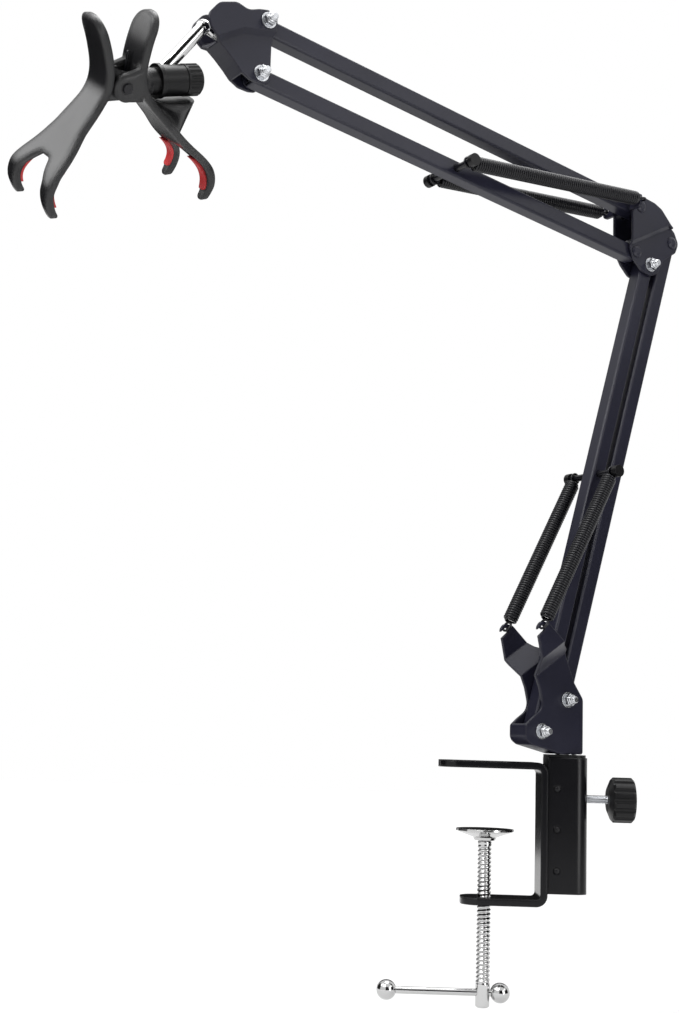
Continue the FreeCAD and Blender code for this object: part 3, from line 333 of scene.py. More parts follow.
class Effects:
    """Shader node groups that several finishes share."""

    BEVEL_SAMPLES: int = 4
    BEND_GAIN: float = 6.0
    PATCH_GAIN: float = 5.0
    NOISE_MIDDLE: float = 0.5
    NOISE_SPAN: float = 2.0

    def __init__(self) -> None:
        """Build the groups once."""
        self.edges = self._edges()
        self.grain = self._grain()
        self.handling = self._handling()

    @staticmethod
    def _group(name: str, inputs: dict[str, float], outputs: dict[str, str]) -> tuple[NodeTree, dict, dict]:
        """Start a group with named sockets.

        Args:
            name: name of the group.
            inputs: float inputs and their default values.
            outputs: outputs and their socket types.

        Returns:
            The tree, its input sockets and its output sockets by name.
        """
        tree = bpy.data.node_groups.new(name, "ShaderNodeTree")
        for key, value in inputs.items():
            socket = tree.interface.new_socket(key, in_out="INPUT", socket_type="NodeSocketFloat")
            socket.default_value = value
        for key, kind in outputs.items():
            tree.interface.new_socket(key, in_out="OUTPUT", socket_type=kind)
        start = tree.nodes.new("NodeGroupInput")
        end = tree.nodes.new("NodeGroupOutput")
        sources = {socket.name: socket for socket in start.outputs if socket.name}
        sinks = {socket.name: socket for socket in end.inputs if socket.name}
        return NodeTree(tree), sources, sinks

    def _edges(self) -> bpy.types.NodeTree:
        """Rounded edge normals and a mask that is one on worn edges.

        Returns:
            The group's tree.
        """
        kit, src, dst = self._group("soft_edges", {"Radius": 0.0006, "Wear": 0.3, "Patch": 180.0},
                                    {"Normal": "NodeSocketVector", "Worn": "NodeSocketFloat"})
        bevel = kit.add("ShaderNodeBevel")
        bevel.samples = self.BEVEL_SAMPLES
        kit.link(src["Radius"], bevel.inputs["Radius"])
        geo = kit.add("ShaderNodeNewGeometry")
        dot = kit.add("ShaderNodeVectorMath")
        dot.operation = "DOT_PRODUCT"
        kit.link(bevel.outputs["Normal"], dot.inputs[0])
        kit.link(geo.outputs["Normal"], dot.inputs[1])
        bend = kit.math("MULTIPLY", kit.math("SUBTRACT", 1.0, dot.outputs["Value"]), self.BEND_GAIN, True)
        coord = kit.add("ShaderNodeTexCoord")
        noise = kit.add("ShaderNodeTexNoise", Detail=3.0, Roughness=0.6)
        kit.link(coord.outputs["Object"], noise.inputs["Vector"])
        kit.link(src["Patch"], noise.inputs["Scale"])
        above = kit.math("SUBTRACT", noise.outputs["Fac"], self.NOISE_MIDDLE)
        patch = kit.math("MULTIPLY", above, self.PATCH_GAIN, True)
        kit.link(kit.math("MULTIPLY", kit.math("MULTIPLY", bend, patch), src["Wear"], True), dst["Worn"])
        kit.link(bevel.outputs["Normal"], dst["Normal"])
        return kit.tree

    def _grain(self) -> bpy.types.NodeTree:
        """Fine surface grain: a height for bumps and a tone that drifts slowly.

        Returns:
            The group's tree.
        """
        kit, src, dst = self._group("fine_grain", {"Scale": 900.0, "Drift": 25.0},
                                    {"Height": "NodeSocketFloat", "Tone": "NodeSocketFloat"})
        coord = kit.add("ShaderNodeTexCoord")
        fine = kit.add("ShaderNodeTexNoise", Detail=2.0, Roughness=0.55)
        slow = kit.add("ShaderNodeTexNoise", Detail=3.0, Roughness=0.5)
        for node, key in ((fine, "Scale"), (slow, "Drift")):
            kit.link(coord.outputs["Object"], node.inputs["Vector"])
            kit.link(src[key], node.inputs["Scale"])
        kit.link(fine.outputs["Fac"], dst["Height"])
        kit.link(slow.outputs["Fac"], dst["Tone"])
        return kit.tree

    def _handling(self) -> bpy.types.NodeTree:
        """Roughness of a handled surface: a base value that smudges swing up and down.

        Returns:
            The group's tree.
        """
        kit, src, dst = self._group("handling_marks", {"Roughness": 0.4, "Spread": 0.1, "Scale": 40.0},
                                    {"Roughness": "NodeSocketFloat"})
        coord = kit.add("ShaderNodeTexCoord")
        smear = kit.add("ShaderNodeTexNoise", Detail=4.0, Roughness=0.65, Distortion=0.4)
        kit.link(coord.outputs["Object"], smear.inputs["Vector"])
        kit.link(src["Scale"], smear.inputs["Scale"])
        above = kit.math("SUBTRACT", smear.outputs["Fac"], self.NOISE_MIDDLE)
        swing = kit.math("MULTIPLY", kit.math("MULTIPLY", above, src["Spread"]), self.NOISE_SPAN)
        kit.link(kit.math("ADD", src["Roughness"], swing, True), dst["Roughness"])
        return kit.tree


@dataclass(frozen=True)
class Finish:
    """A surface finish: colours, gloss and the sizes of its marks."""

    name: str
    colour: tuple[float, float, float]
    worn: tuple[float, float, float]
    roughness: float
    spread: float
    metallic: float = 0.0
    specular: float = 0.5
    grain_scale: float = 900.0
    grain_height: float = 0.00002
    grain_strength: float = 0.15
    wear: float = 0.25
    edge: float = 0.0005
    tone: float = 0.25

    def build(self, effects: Effects) -> bpy.types.Material:
        """Make the material.

        Args:
            effects: the shared node groups.

        Returns:
            The material.
        """
        mat = bpy.data.materials.new(self.name)
        mat.use_nodes = True
        kit = NodeTree(mat.node_tree)
        shader = mat.node_tree.nodes["Principled BSDF"]
        shader.inputs["Metallic"].default_value = self.metallic
        shader.inputs["Specular IOR Level"].default_value = self.specular
        edges = kit.group(effects.edges, Radius=self.edge, Wear=self.wear)
        grain = kit.group(effects.grain, Scale=self.grain_scale)
        marks = kit.group(effects.handling, Roughness=self.roughness, Spread=self.spread)
        drift = kit.mix()
        drift.inputs["A"].default_value = (*(c * (1 - self.tone) for c in self.colour), 1)
        drift.inputs["B"].default_value = (*(c * (1 + self.tone) for c in self.colour), 1)
        kit.link(grain.outputs["Tone"], drift.inputs["Factor"])
        wear = kit.mix()
        wear.inputs["B"].default_value = (*self.worn, 1)
        kit.link(drift.outputs["Result"], wear.inputs["A"])
        kit.link(edges.outputs["Worn"], wear.inputs["Factor"])
        bump = kit.add("ShaderNodeBump", Strength=self.grain_strength, Distance=self.grain_height)
        kit.link(grain.outputs["Height"], bump.inputs["Height"])
        kit.link(edges.outputs["Normal"], bump.inputs["Normal"])
        kit.link(wear.outputs["Result"], shader.inputs["Base Color"])
        kit.link(marks.outputs["Roughness"], shader.inputs["Roughness"])
        kit.link(bump.outputs["Normal"], shader.inputs["Normal"])
        return mat


class Palette:
    """All finishes of the stand and the nodes that wear them."""

    FINISHES: tuple[Finish, ...] = (
        Finish("satin_black_paint", (0.012, 0.012, 0.022), (0.08, 0.08, 0.09), 0.3, 0.06, specular=0.28,
               grain_scale=1400, wear=0.2, edge=0.0014),
        Finish("gloss_black_paint", (0.004, 0.004, 0.005), (0.07, 0.07, 0.07), 0.2, 0.05, specular=0.22,
               grain_scale=700, wear=0.2, edge=0.0022),
        Finish("bright_plating", (0.52, 0.52, 0.52), (0.4, 0.4, 0.4), 0.1, 0.04, metallic=1.0,
               grain_scale=2000, grain_strength=0.05, wear=0.1, tone=0.04, edge=0.0004),
        Finish("zinc_plating", (0.52, 0.53, 0.55), (0.35, 0.35, 0.35), 0.26, 0.08, metallic=1.0,
               grain_scale=2500, grain_strength=0.1, wear=0.2, tone=0.1, edge=0.0003),
        Finish("black_spring_wire", (0.004, 0.004, 0.006), (0.10, 0.10, 0.10), 0.28, 0.08, specular=0.3,
               wear=0.1, edge=0.0002),
        Finish("moulded_black", (0.004, 0.004, 0.0045), (0.03, 0.03, 0.03), 0.36, 0.08, specular=0.22,
               grain_scale=1800, grain_height=0.00005, grain_strength=0.3, wear=0.15),
        Finish("clip_plastic", (0.009, 0.009, 0.01), (0.06, 0.06, 0.06), 0.22, 0.05, specular=0.42,
               grain_scale=1200, wear=0.05, edge=0.0065),
        Finish("red_rubber", (0.42, 0.016, 0.018), (0.5, 0.06, 0.06), 0.55, 0.1, grain_scale=2200,
               grain_height=0.00006, grain_strength=0.35, wear=0.2, edge=0.0005),
    )
    WEARS: dict[str, str] = {
        "arm_paint": "satin_black_paint",
        "clamp_paint": "gloss_black_paint",
        "chrome": "bright_plating",
        "zinc": "zinc_plating",
        "spring_steel": "black_spring_wire",
        "black_plastic": "moulded_black",
        "clip_plastic": "clip_plastic",
        "red_rubber": "red_rubber",
        "nylon": "moulded_black",
    }
    BLACKENED: tuple[str, ...] = ("lower_spring_pin", "upper_spring_pin")

    def __init__(self) -> None:
        """Build every material."""
        effects = Effects()
        self.materials = {f.name: f.build(effects) for f in self.FINISHES}

    def of_slot(self, slot: str) -> bpy.types.Material:
        """The material of a slot of the record."""
        return self.materials[self.WEARS[slot]]

    def dress_nodes(self) -> None:
        """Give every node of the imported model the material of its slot, and blacken the spring pins."""
        for part in frame["record"]["subparts"]:
            obj = frame["nodes"][part["node"]]
            slot = "spring_steel" if part["node"] in self.BLACKENED else part["material_slot"]
            obj.data.materials.clear()
            obj.data.materials.append(self.of_slot(slot))

    def dress(self, obj: bpy.types.Object, slot: str) -> None:
        """Give a new piece the material of a slot.

        Args:
            obj: the piece.
            slot: slot of the record.
        """
        obj.data.materials.clear()
        obj.data.materials.append(self.of_slot(slot))


@dataclass(frozen=True)
class BalanceSpring:
    """A tension spring beside the arm: end points in the arm plane and wire sizes, in millimetres.

    It is made in two lengths, and the first runs up to the split.
    """

    name: str
    node: str
    bodies: tuple[str, str]
    start: tuple[float, float]
    end: tuple[float, float]
    side: Side
    flat_start: bool
    split: float
    share: float
    offset: float = 20.0
    coil_d: float = 11.0
    wire: float = 1.8
    loop: float = 3.6
    pitch: float = 1.95
    loop_gap: float = 0.45
    run_out_turns: float = 1.5
    loop_points: int = 40
    loop_sides: int = 10
    turn_points: int = 18
    coil_sides: int = 8

    def _hook(self, centre: np.ndarray, across: np.ndarray, axis: np.ndarray) -> np.ndarray:
        """Wire loop: centre plus the loop radius times a turn in the plane of two directions.

        Args:
            centre: middle of the loop.
            across: direction in the loop's plane, across the spring.
            axis: direction along the spring, towards the coil.

        Returns:
            Tube grid of the loop.
        """
        t = np.linspace(-np.pi + self.loop_gap, np.pi, self.loop_points)[:, None]
        path = centre + self.loop * MM * (np.sin(t) * across - np.cos(t) * axis)
        normal = np.broadcast_to(np.cross(across, axis), path.shape)
        return ring_tube(path, normal, self.wire * MM / 2, self.loop_sides)

    def _coil(self, low: np.ndarray, axis: np.ndarray, length: float, lead: np.ndarray) -> np.ndarray:
        """Close-wound wire: a point that turns about the axis at the coil radius as it climbs.

        The radius grows from nothing over the first run-out turns and falls back over the last.

        Args:
            low: where the wire leaves the first loop.
            axis: unit direction of the spring.
            length: distance between the loops.
            lead: direction across the axis in which the wire leaves the loop.

        Returns:
            Tube grid of the coil.
        """
        turns = round(length / (self.pitch * MM))
        s = np.linspace(0, 1, turns * self.turn_points + 1)[:, None]
        runs = turns / self.run_out_turns
        grow = np.clip(s * runs, 0, 1) * np.clip((1 - s) * runs, 0, 1)
        radius = (self.coil_d - self.wire) / 2 * MM * grow * (2 - grow)
        angle = 2 * np.pi * turns * s
        other = np.cross(axis, lead)
        path = low + axis * length * s + radius * (np.cos(angle) * lead + np.sin(angle) * other)
        return ring_tube(path, np.broadcast_to(axis, path.shape), self.wire * MM / 2, self.coil_sides)

    def _hang(self, shell: Shell, ending: str,
              palette: Palette) -> bpy.types.Object:
        """Make one length of the spring and put it in place of its node.

        Args:
            shell: the length's surface.
            ending: last word of the object's name.
            palette: the finishes.

        Returns:
            The object.
        """
        obj = shell.to_object(f"{self.name}_{ending}")
        palette.dress(obj, "spring_steel")
        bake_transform(obj)
        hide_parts(self.node)
        return obj

    def build(self, palette: Palette) -> list[bpy.types.Object]:
        """Wind the spring in two lengths, cut at the split.

        Args:
            palette: the finishes.

        Returns:
            The objects of the spring's two lengths.
        """
        y = self.offset * self.side.value
        a = PLANE.point(self.start[0], y, self.start[1])
        b = PLANE.point(self.end[0], y, self.end[1])
        axis = unit(b - a)
        far = PLANE.axes()[1]
        up = unit(np.cross(axis, far))
        loop = self.loop * MM
        centre = a if self.flat_start else a + axis * loop
        low = centre + axis * loop
        length = float(np.linalg.norm(b - axis * loop - low))
        coil = self._coil(low, axis, length, -far)
        before = float(np.linalg.norm(low - a))
        cut = round((self.split * float(np.linalg.norm(b - a)) - before) / length * (len(coil) - 1))
        first, last = Shell(), Shell()
        first.add_tube(self._hook(centre, far, axis))
        first.add_tube(coil[:cut + 1])
        last.add_tube(coil[cut:])
        last.add_tube(self._hook(b, up, -axis))
        return [self._hang(first, "first", palette),
                self._hang(last, "last", palette)]


@dataclass(frozen=True)
class Thread:
    """Rolled thread on a rod, in millimetres, with plain lengths at both ends."""

    length: float
    diameter: float
    pitch: float
    depth: float
    plain: tuple[float, float] = (0.0, 0.0)
    chamfer: float = 0.6
    flank_gain: float = 1.5
    crest: float = 0.25
    turn_rings: int = 9
    hint: tuple[float, float, float] = (0.2, 1.0, 0.1)

    def grid(self, start: np.ndarray, axis: np.ndarray, sides: int = 36) -> np.ndarray:
        """Thread surface: the radius dips by a triangle wave of height along the axis less turn.

        The wave is steepened by the flank gain and cut off, which leaves flat crests and roots.

        Args:
            start: first point of the rod's axis, in metres.
            axis: unit direction of the rod.
            sides: points round the rod.

        Returns:
            Tube grid in metres whose rings stand across the axis.
        """
        z = np.linspace(0, self.length, int(self.length / self.pitch * self.turn_rings) + 2)[:, None]
        phi = np.linspace(0, 2 * np.pi, sides, endpoint=False)[None, :]
        wave = np.abs(2 * ((z / self.pitch - phi / (2 * np.pi)) % 1.0) - 1.0)
        first = np.clip((z - self.plain[0]) / self.pitch, 0, 1)
        last = np.clip((self.length - self.plain[1] - z) / self.pitch, 0, 1)
        dip = np.clip(wave * self.flank_gain - self.crest, 0, 1)
        radius = self.diameter / 2 - self.depth * dip * first * last
        radius = np.minimum(radius, self.diameter / 2 - self.chamfer + np.minimum(z, self.length - z))
        a, b = side_frame(axis, np.array(self.hint))
        turn = np.cos(phi)[..., None] * a + np.sin(phi)[..., None] * b
        return start + (z[..., None] * axis + radius[..., None] * turn) * MM


@dataclass(frozen=True)
class ThreadedSpindle:
    """A screw with a rolled thread, in place of a plain cylinder, in millimetres."""

    name: str
    node: str
    body: str
    slot: str
    start: tuple[float, float, float]
    axis: tuple[float, float, float]
    thread: Thread
    spigot: tuple[float, float] = (0.0, 0.0)
    spigot_root: float = 0.5
    sides: int = 48
    spigot_sides: int = 32

    def build(self, palette: Palette) -> bpy.types.Object:
        """Cut the thread and set the screw on its body.

        Args:
            palette: the finishes.

        Returns:
            The screw's object.
        """
        shell = Shell()
        start = np.array(self.start) * MM
        axis = unit(np.array(self.axis))
        shell.add_tube(self.thread.grid(start, axis, self.sides))
        spigot_d, spigot_length = self.spigot
        if spigot_d > 0:
            r = spigot_d / 2
            length = self.thread.length
            ends = np.array([[length - self.spigot_root, r], [length + spigot_length, r]])
            shell.add_tube(lathe(ends * MM, start, axis, self.spigot_sides))
        obj = shell.to_object(self.name)
        palette.dress(obj, self.slot)
        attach(obj, self.body)
        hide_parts(self.node)
        return obj


@dataclass(frozen=True)
class PivotFasteners:
    """Bolts and lock nuts of one bracket: pivots of the arm plane and the cheeks' steps there."""

    name: str
    body: str
    pivots: tuple[tuple[float, float], ...]
    steps: tuple[float, ...]
    cheek: float = 8.65
    washer: float = 1.0
    flats: float = 8.0
    bolt_d: float = 5.0
    nut_h: float = 4.0
    collar_h: float = 1.6
    head_h: float = 3.5
    bolt_end: float = 3.0
    thread_pitch: float = 0.8
    thread_depth: float = 0.36
    thread_run: float = 4.0
    bevel_rings: tuple[float, ...] = (0.12, 0.3, 0.6)
    cone_share: float = 0.98
    cone_slope: float = 1.7
    dish_radii: tuple[float, float, float] = (2.6, 2.0, 0.2)
    dish_depth: float = 0.5
    collar_inset: float = 0.4
    collar_round: tuple[float, float] = (0.25, 0.7)
    bore_gap: float = 0.12
    bore_depth: float = 0.8
    sides: int = 72
    crease_deg: float = 28.0
    hint: tuple[float, float, float] = (0.1, 0.2, 1.0)

    def _hex(self, origin: np.ndarray, axis: np.ndarray, height: float, tail: np.ndarray) -> np.ndarray:
        """Six-sided body with chamfered corners, then round rings.

        The radius is the smaller of the hexagon's, (half flats) / cos(turn within a sixth), and
        that of a cone that opens from either end face.

        Args:
            origin: middle of the seat, in metres.
            axis: unit direction out of the seat.
            height: height of the six-sided part.
            tail: (along, radius) rows of the round rings that follow it.

        Returns:
            Tube grid in metres.
        """
        low = np.array([0.0, *self.bevel_rings])
        z = np.concatenate([low, height - low[::-1]])[:, None]
        phi = np.linspace(0, 2 * np.pi, self.sides, endpoint=False)[None, :]
        sixth = (phi + np.pi / 6) % (np.pi / 3) - np.pi / 6
        half = self.flats / 2
        cone = half * self.cone_share + self.cone_slope * np.minimum(z, height - z)
        radius = np.minimum(half / np.cos(sixth), cone)
        rows = np.broadcast_to(tail[:, 1, None], (len(tail), phi.shape[1]))
        radius = np.concatenate([radius, rows])
        z = np.concatenate([z[:, 0], tail[:, 0]])
        a, b = side_frame(axis, np.array(self.hint))
        turn = np.cos(phi)[..., None] * a + np.sin(phi)[..., None] * b
        return origin + (z[:, None, None] * axis + radius[..., None] * turn) * MM

    def _finish(self, shell: Shell, kind: str, palette: Palette) -> bpy.types.Object:
        """Make the object of one kind of fastener and put it in place of its node.

        Args:
            shell: the collected surface.
            kind: "bolts" or "nuts".
            palette: the finishes.

        Returns:
            The object.
        """
        obj = shell.to_object(f"{self.name}_{kind}_cut")
        obj.data.set_sharp_from_angle(angle=math.radians(self.crease_deg))
        palette.dress(obj, "zinc")
        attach(obj, self.body)
        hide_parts(f"{self.name}_{kind}")
        return obj

    def build(self, palette: Palette) -> list[bpy.types.Object]:
        """Make the bracket's bolts and nuts.

        Args:
            palette: the finishes.

        Returns:
            The two objects.
        """
        bolts, nuts = Shell(), Shell()
        far = PLANE.axes()[1]
        floor = self.head_h - self.dish_depth
        dish = np.stack([[self.head_h, floor, floor], self.dish_radii], axis=1)
        top = self.nut_h + self.collar_h
        ring = self.flats / 2 - self.collar_inset
        fine, wide = self.collar_round
        bore = self.bolt_d / 2 + self.bore_gap
        tail = np.array([[self.nut_h, ring], [top - wide, ring], [top - fine, ring - fine],
                         [top, ring - wide], [top, bore], [top - self.bore_depth, bore]])
        for (u, z), step in zip(self.pivots, self.steps):
            seat = self.cheek + step + self.washer
            end = seat + top + self.bolt_end
            thread = Thread(end + seat, self.bolt_d, self.thread_pitch, self.thread_depth,
                            plain=(0.0, 2 * seat - self.thread_run))
            bolts.add_tube(thread.grid(PLANE.point(u, -end, z), far))
            bolts.add_tube(self._hex(PLANE.point(u, seat, z), far, self.head_h, dish))
            nuts.add_tube(self._hex(PLANE.point(u, -seat, z), -far, self.nut_h, tail))
        return [self._finish(bolts, "bolts", palette), self._finish(nuts, "nuts", palette)]


@dataclass(frozen=True)
class BentRod:
    """The bent rod between head and barrel: round leg, knuckle and threaded leg, in millimetres."""

    corner: tuple[float, float] = (-320.968, 473.16)
    fall_deg: float = 54.1
    length: float = 58.2
    diameter: float = 8.5
    knuckle: float = 10.0
    leg_dip_deg: float = 20.0
    leg: Thread = Thread(29.0, 6.0, 1.0, 0.45, plain=(8.0, 0.0))
    chamfer: float = 0.4
    ball_rings: int = 28
    ball_closed: float = 0.999
    sides: int = 48

    def _direction(self, angle_deg: float) -> np.ndarray:
        """Space direction at an angle above the arm plane's u axis."""
        eu, _, ez = PLANE.axes()
        return math.cos(math.radians(angle_deg)) * eu + math.sin(math.radians(angle_deg)) * ez

    def build(self, palette: Palette) -> bpy.types.Object:
        """Turn the round leg with its ball end, cut the threaded leg and join them.

        The round leg's radius is constant until it meets the ball, whose radius is
        the root of (ball radius squared less distance from its middle squared).

        Args:
            palette: the finishes.

        Returns:
            The rod's object.
        """
        corner = PLANE.point(self.corner[0], 0.0, self.corner[1])
        r, ball = self.diameter / 2, self.knuckle / 2
        meet = math.sqrt(ball * ball - r * r)
        joint, tip = self.length - meet, self.length + ball * self.ball_closed
        s = np.concatenate([[0.0, self.chamfer], np.linspace(joint, tip, self.ball_rings)])
        swell = np.sqrt(np.maximum(ball * ball - (s - self.length) ** 2, 0.0))
        radius = np.where(s < joint, np.minimum(r, r - self.chamfer + s), swell)
        profile = np.stack([s, radius], axis=1) * MM
        axis = self._direction(self.fall_deg)
        shell = Shell()
        shell.add_tube(lathe(profile, corner - axis * self.length * MM, axis, self.sides))
        shell.add_tube(self.leg.grid(corner, self._direction(-self.leg_dip_deg)))
        obj = shell.to_object("bent_rod_threaded")
        palette.dress(obj, "chrome")
        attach(obj, "rod")
        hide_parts("swivel_rod")
        return obj


@dataclass(frozen=True)
class TorsionSpring:
    """The clip's hinge spring: coil on the pin and a leg to each ear, in millimetres.
    """

    radius: float = 6.2
    still: float = 3.0
    wire: float = 1.6
    half: float = 3.2
    turns: float = 3.5
    leg_end: tuple[float, float] = (7.6, 19.0)
    coil_points: int = 140
    leg_points: int = 12
    sides: int = 10

    def build(self, palette: Palette) -> bpy.types.Object:
        """Wind the spring: a straight leg, a helix about the hinge and another straight leg.

        The helix is the point (radius cos a, y, -radius sin a) with y rising evenly with the turn a.

        Args:
            palette: the finishes.

        Returns:
            The spring's object.
        """
        turn = np.linspace(0, 2 * np.pi * self.turns, self.coil_points)
        y = np.linspace(self.half, -self.half, turn.size)
        helix = np.stack([self.radius * np.cos(turn), y, -self.radius * np.sin(turn)], axis=1)
        share = np.linspace(0, 1, self.leg_points)[:, None]
        first = np.array([self.leg_end[0], self.half, self.leg_end[1]])
        last = np.array([-self.leg_end[0], -self.half, self.leg_end[1]])
        leg_in = first + (helix[0] - first) * share[:-1]
        leg_out = helix[-1] + (last - helix[-1]) * share[1:]
        path = np.concatenate([leg_in, helix, leg_out])
        hinge = np.broadcast_to(np.array([0.0, 1.0, 0.0]), path.shape)
        grid = ring_tube(path, hinge, self.wire / 2, self.sides)
        shell = Shell()
        shell.add_tube(CLIP.points(grid.reshape(-1, 3)).reshape(grid.shape))
        obj = shell.to_object("hinge_spring_coil")
        palette.dress(obj, "spring_steel")
        start, end = CLIP.points(np.array([[self.still, 0.0, 0.0], [-self.radius, 0.0, 0.0]]))
        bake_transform(obj)
        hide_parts("torsion_spring")
        return obj


@dataclass(frozen=True)
class Lamp:
    """An oblong soft lamp: its place, the point that it faces, its width and height, and its power."""

    name: str
    at: tuple[float, float, float]
    to: tuple[float, float, float]
    size: tuple[float, float]
    watts: float

    def build(self) -> None:
        """Add the lamp to the scene and turn it to its point."""
        data = bpy.data.lights.new(self.name, "AREA")
        data.shape = "RECTANGLE"
        data.size, data.size_y = self.size
        data.energy = self.watts
        obj = bpy.data.objects.new(self.name, data)
        bpy.context.scene.collection.objects.link(obj)
        obj.location = self.at
        obj.rotation_euler = (Vector(self.to) - Vector(self.at)).to_track_quat("-Z", "Y").to_euler()


@dataclass(frozen=True)
class Studio:
    """Camera, lamps, floor, world and the dark cards that bright metal mirrors.

    The lamps are a key from the upper left, strips at the front right and far left, one at the side
    and one above. Each card is given by the direction of its middle and its span, in degrees.
    """

    camera_at: tuple[float, float, float] = (-0.1113, -1.1010, 0.0146)
    pitch_deg: float = 8.9
    roll_deg: float = 1.8
    lens: float = 53.56
    sensor: float = 36.0
    nearest: float = 0.01
    lamps: tuple[Lamp, ...] = (
        Lamp("key", (-0.9, -1.1, 1.5), (-0.1, 0, 0.35), (0.9, 0.9), 26),
        Lamp("strip", (0.95, -1.1, 0.2), (0.05, 0, 0.15), (0.35, 1.3), 7),
        Lamp("side", (1.5, -0.6, 1.05), (0, 0, 0.4), (0.8, 0.5), 2.5),
        Lamp("left", (-1.25, -0.18, 1.15), (-0.3, -0.2, 0.4), (0.35, 0.8), 3.0),
        Lamp("top", (0.1, 0.1, 1.6), (-0.05, 0, 0.3), (0.9, 0.9), 14),
    )
    world_light: float = 0.4
    floor_drop: float = 0.04
    floor_half: float = 6.0
    floor_grey: float = 0.9
    floor_glow: float = 0.66
    glow_range: tuple[float, float] = (0.3, 2.4)
    cards: tuple[tuple[float, float], ...] = ((-82.0, 40.0), (-10.0, 44.0), (90.0, 60.0), (160.0, 60.0))
    card_radius: float = 2.2
    card_heights: tuple[float, float] = (-1.3, 1.5)
    card_strips: int = 8
    card_grey: float = 0.02

    def camera(self) -> None:
        """Set the camera where the photograph was taken."""
        data = bpy.data.cameras.new("camera")
        data.sensor_fit = "VERTICAL"
        data.sensor_height = self.sensor
        data.lens = self.lens
        data.clip_start = self.nearest
        obj = bpy.data.objects.new("camera", data)
        bpy.context.scene.collection.objects.link(obj)
        turn = Matrix.Rotation(math.radians(90 + self.pitch_deg), 4, "X") @ Matrix.Rotation(
            math.radians(self.roll_deg), 4, "Z")
        obj.matrix_world = Matrix.Translation(Vector(self.camera_at)) @ turn
        bpy.context.scene.camera = obj

    @staticmethod
    def matt(name: str, grey: float, roughness: float, specular: float) -> bpy.types.Material:
        """Make a plain grey material.

        Args:
            name: name of the material.
            grey: its level of grey.
            roughness: roughness of its surface.
            specular: level of its gloss.

        Returns:
            The material.
        """
        mat = bpy.data.materials.new(name)
        mat.use_nodes = True
        shader = mat.node_tree.nodes["Principled BSDF"]
        shader.inputs["Base Color"].default_value = (grey, grey, grey, 1)
        shader.inputs["Roughness"].default_value = roughness
        shader.inputs["Specular IOR Level"].default_value = specular
        return mat

    @staticmethod
    def sheet(name: str, points: list, faces: list, mat: bpy.types.Material) -> bpy.types.Object:
        """Add a sheet of the stage.

        Args:
            name: name of the object.
            points: its vertices.
            faces: its faces.
            mat: its material.

        Returns:
            The object.
        """
        mesh = bpy.data.meshes.new(name)
        mesh.from_pydata(points, [], faces)
        obj = bpy.data.objects.new(name, mesh)
        bpy.context.scene.collection.objects.link(obj)
        obj.data.materials.append(mat)
        return obj

    def dark_cards(self) -> None:
        """Upright dark cards round the object, seen only in reflections, so that bright metal has dark bands.

        Each card is a strip of a cylinder wall: radius times (cos a, sin a) over a span of a, by height.
        """
        mat = self.matt("dark_card", self.card_grey, 1.0, 0.0)
        columns = self.card_strips + 1
        n = np.arange(self.card_strips)
        faces = np.stack([n, n + 1, n + columns + 1, n + columns], axis=1).tolist()
        for k, (middle, span) in enumerate(self.cards):
            a = np.radians(np.linspace(middle - span / 2, middle + span / 2, columns))
            rim = np.stack([np.cos(a), np.sin(a)], axis=1) * self.card_radius
            points = np.concatenate([np.c_[rim, np.full(columns, height)] for height in self.card_heights])
            obj = self.sheet(f"dark_card_{k}", points.tolist(), faces, mat)
            obj.visible_camera = False
            obj.visible_diffuse = False
            obj.visible_shadow = False

    def world(self) -> None:
        """White to the eye and to reflections, a plain grey light to the rest."""
        world = bpy.data.worlds.new("studio")
        world.use_nodes = True
        bpy.context.scene.world = world
        kit = NodeTree(world.node_tree)
        back = world.node_tree.nodes["Background"]
        back.inputs["Color"].default_value = (1, 1, 1, 1)
        more = kit.math("MULTIPLY", kit.seen(), 1 - self.world_light)
        kit.link(kit.math("ADD", more, self.world_light), back.inputs["Strength"])

    def floor(self) -> None:
        """Pale floor under the lowest point, with room for the clamp screw run all the way down.

        Far from the object it glows to the eye and to reflections, so that it runs into the white behind.
        """
        low = CAD_BOX[0][2] - self.floor_drop
        half = self.floor_half
        mat = self.matt("pale_floor", self.floor_grey, 0.9, 0.1)
        kit = NodeTree(mat.node_tree)
        shader = mat.node_tree.nodes["Principled BSDF"]
        shader.inputs["Emission Color"].default_value = (1, 1, 1, 1)
        coord = kit.add("ShaderNodeTexCoord")
        away = kit.add("ShaderNodeVectorMath")
        away.operation = "LENGTH"
        kit.link(coord.outputs["Object"], away.inputs[0])
        near, far = self.glow_range
        fade = kit.add("ShaderNodeMapRange", From_Min=near, From_Max=far, To_Min=0.0, To_Max=self.floor_glow)
        kit.link(away.outputs["Value"], fade.inputs["Value"])
        kit.link(kit.math("MULTIPLY", kit.seen(), fade.outputs["Result"]), shader.inputs["Emission Strength"])
        corners = [(-half, -half, low), (half, -half, low), (half, half, low), (-half, half, low)]
        self.sheet("floor", corners, [(0, 1, 2, 3)], mat)

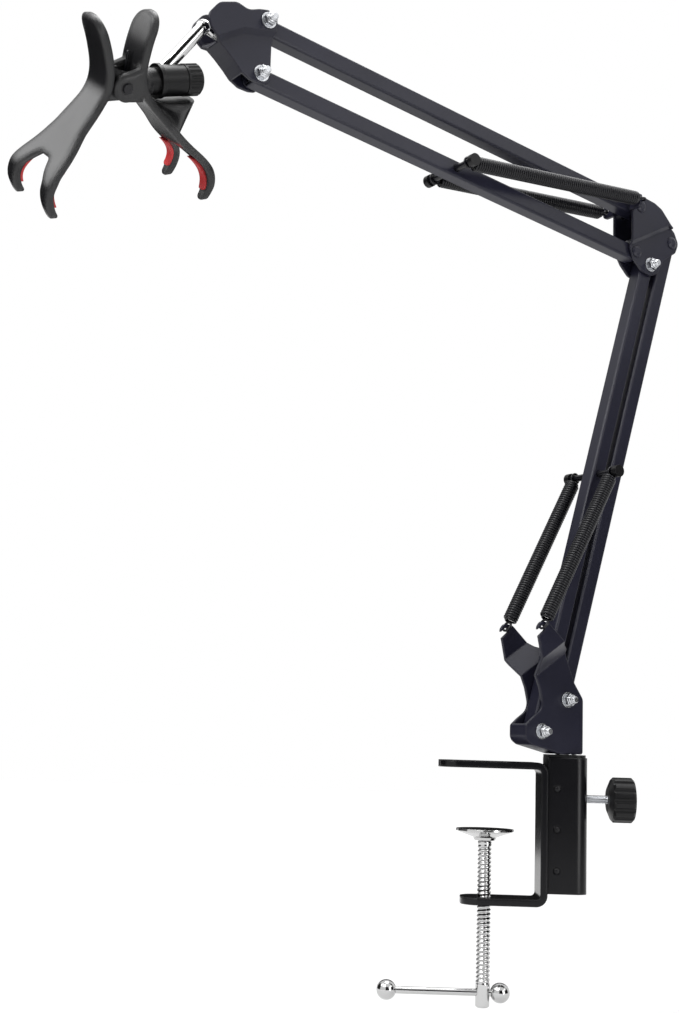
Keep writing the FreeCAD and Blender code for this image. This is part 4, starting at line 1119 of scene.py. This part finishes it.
    def build(self) -> None:
        """Set up everything round the object."""
        bpy.context.scene.view_settings.view_transform = "Standard"
        self.camera()
        for lamp in self.lamps:
            lamp.build()
        self.world()
        self.dark_cards()
        self.floor()


# Stage of the arm, bodies, first and last point, lie of the first loop, split and share
SPRING_STAGES = (
    ("lower", ("base", "lower_front_bar"), (-41.6, 98.6), (25.47, 218.86), False, 0.127, 0.346),
    ("upper", ("elbow", "upper_bottom_bar"), (54.69, 437.04), (-114.68, 425.0), True, 0.17, 0.88),
)

SPRINGS: tuple[BalanceSpring, ...] = tuple(
    BalanceSpring(f"{stage}_coil_{side.name.lower()}", f"{stage}_spring_{side.name.lower()}",
                  bodies, start, end, side, flat, split, share)
    for stage, bodies, start, end, flat, split, share in SPRING_STAGES
    for side in Side)

SPINDLES: tuple[ThreadedSpindle, ...] = (
    ThreadedSpindle("clamp_spindle_thread", "clamp_screw", "clamp_spindle", "chrome",
                    (0, 0, -166.05), (0, 0, 1),
                    Thread(115.0, 10.0, 3.0, 0.9, plain=(16.0, 2.0), chamfer=1.0), spigot=(7.0, 5.0)),
    ThreadedSpindle("lock_screw_thread", "lock_screw", "post_lock", "zinc", (64.7, 0, -20.0), (1, 0, 0),
                    Thread(32.8, 6.0, 1.0, 0.45)),
)

FASTENERS: tuple[PivotFasteners, ...] = (
    PivotFasteners("base", "base", ((-31.0, 27.0), (-7.0, 50.0)), (0.0, 0.0)),
    PivotFasteners("elbow", "elbow", ((76.29, 391.539),), (0.0,)),
    PivotFasteners("head", "head", ((-280.968, 448.96), (-278.968, 485.46)), (0.0, 3.5)),
)


def main() -> None:
    """Dress the nodes, add the new pieces and set up the studio."""
    logging.basicConfig(level=logging.INFO, format="%(message)s")
    palette = Palette()
    palette.dress_nodes()
    for spring in SPRINGS:
        LOG.info("pieces %s", ", ".join(obj.name for obj in spring.build(palette)))
    for piece in (*SPINDLES, BentRod(), TorsionSpring()):
        LOG.info("piece %s", piece.build(palette).name)
    for fasteners in FASTENERS:
        LOG.info("pieces %s", ", ".join(obj.name for obj in fasteners.build(palette)))
    Studio().build()


if __name__ == "__main__":
    main()
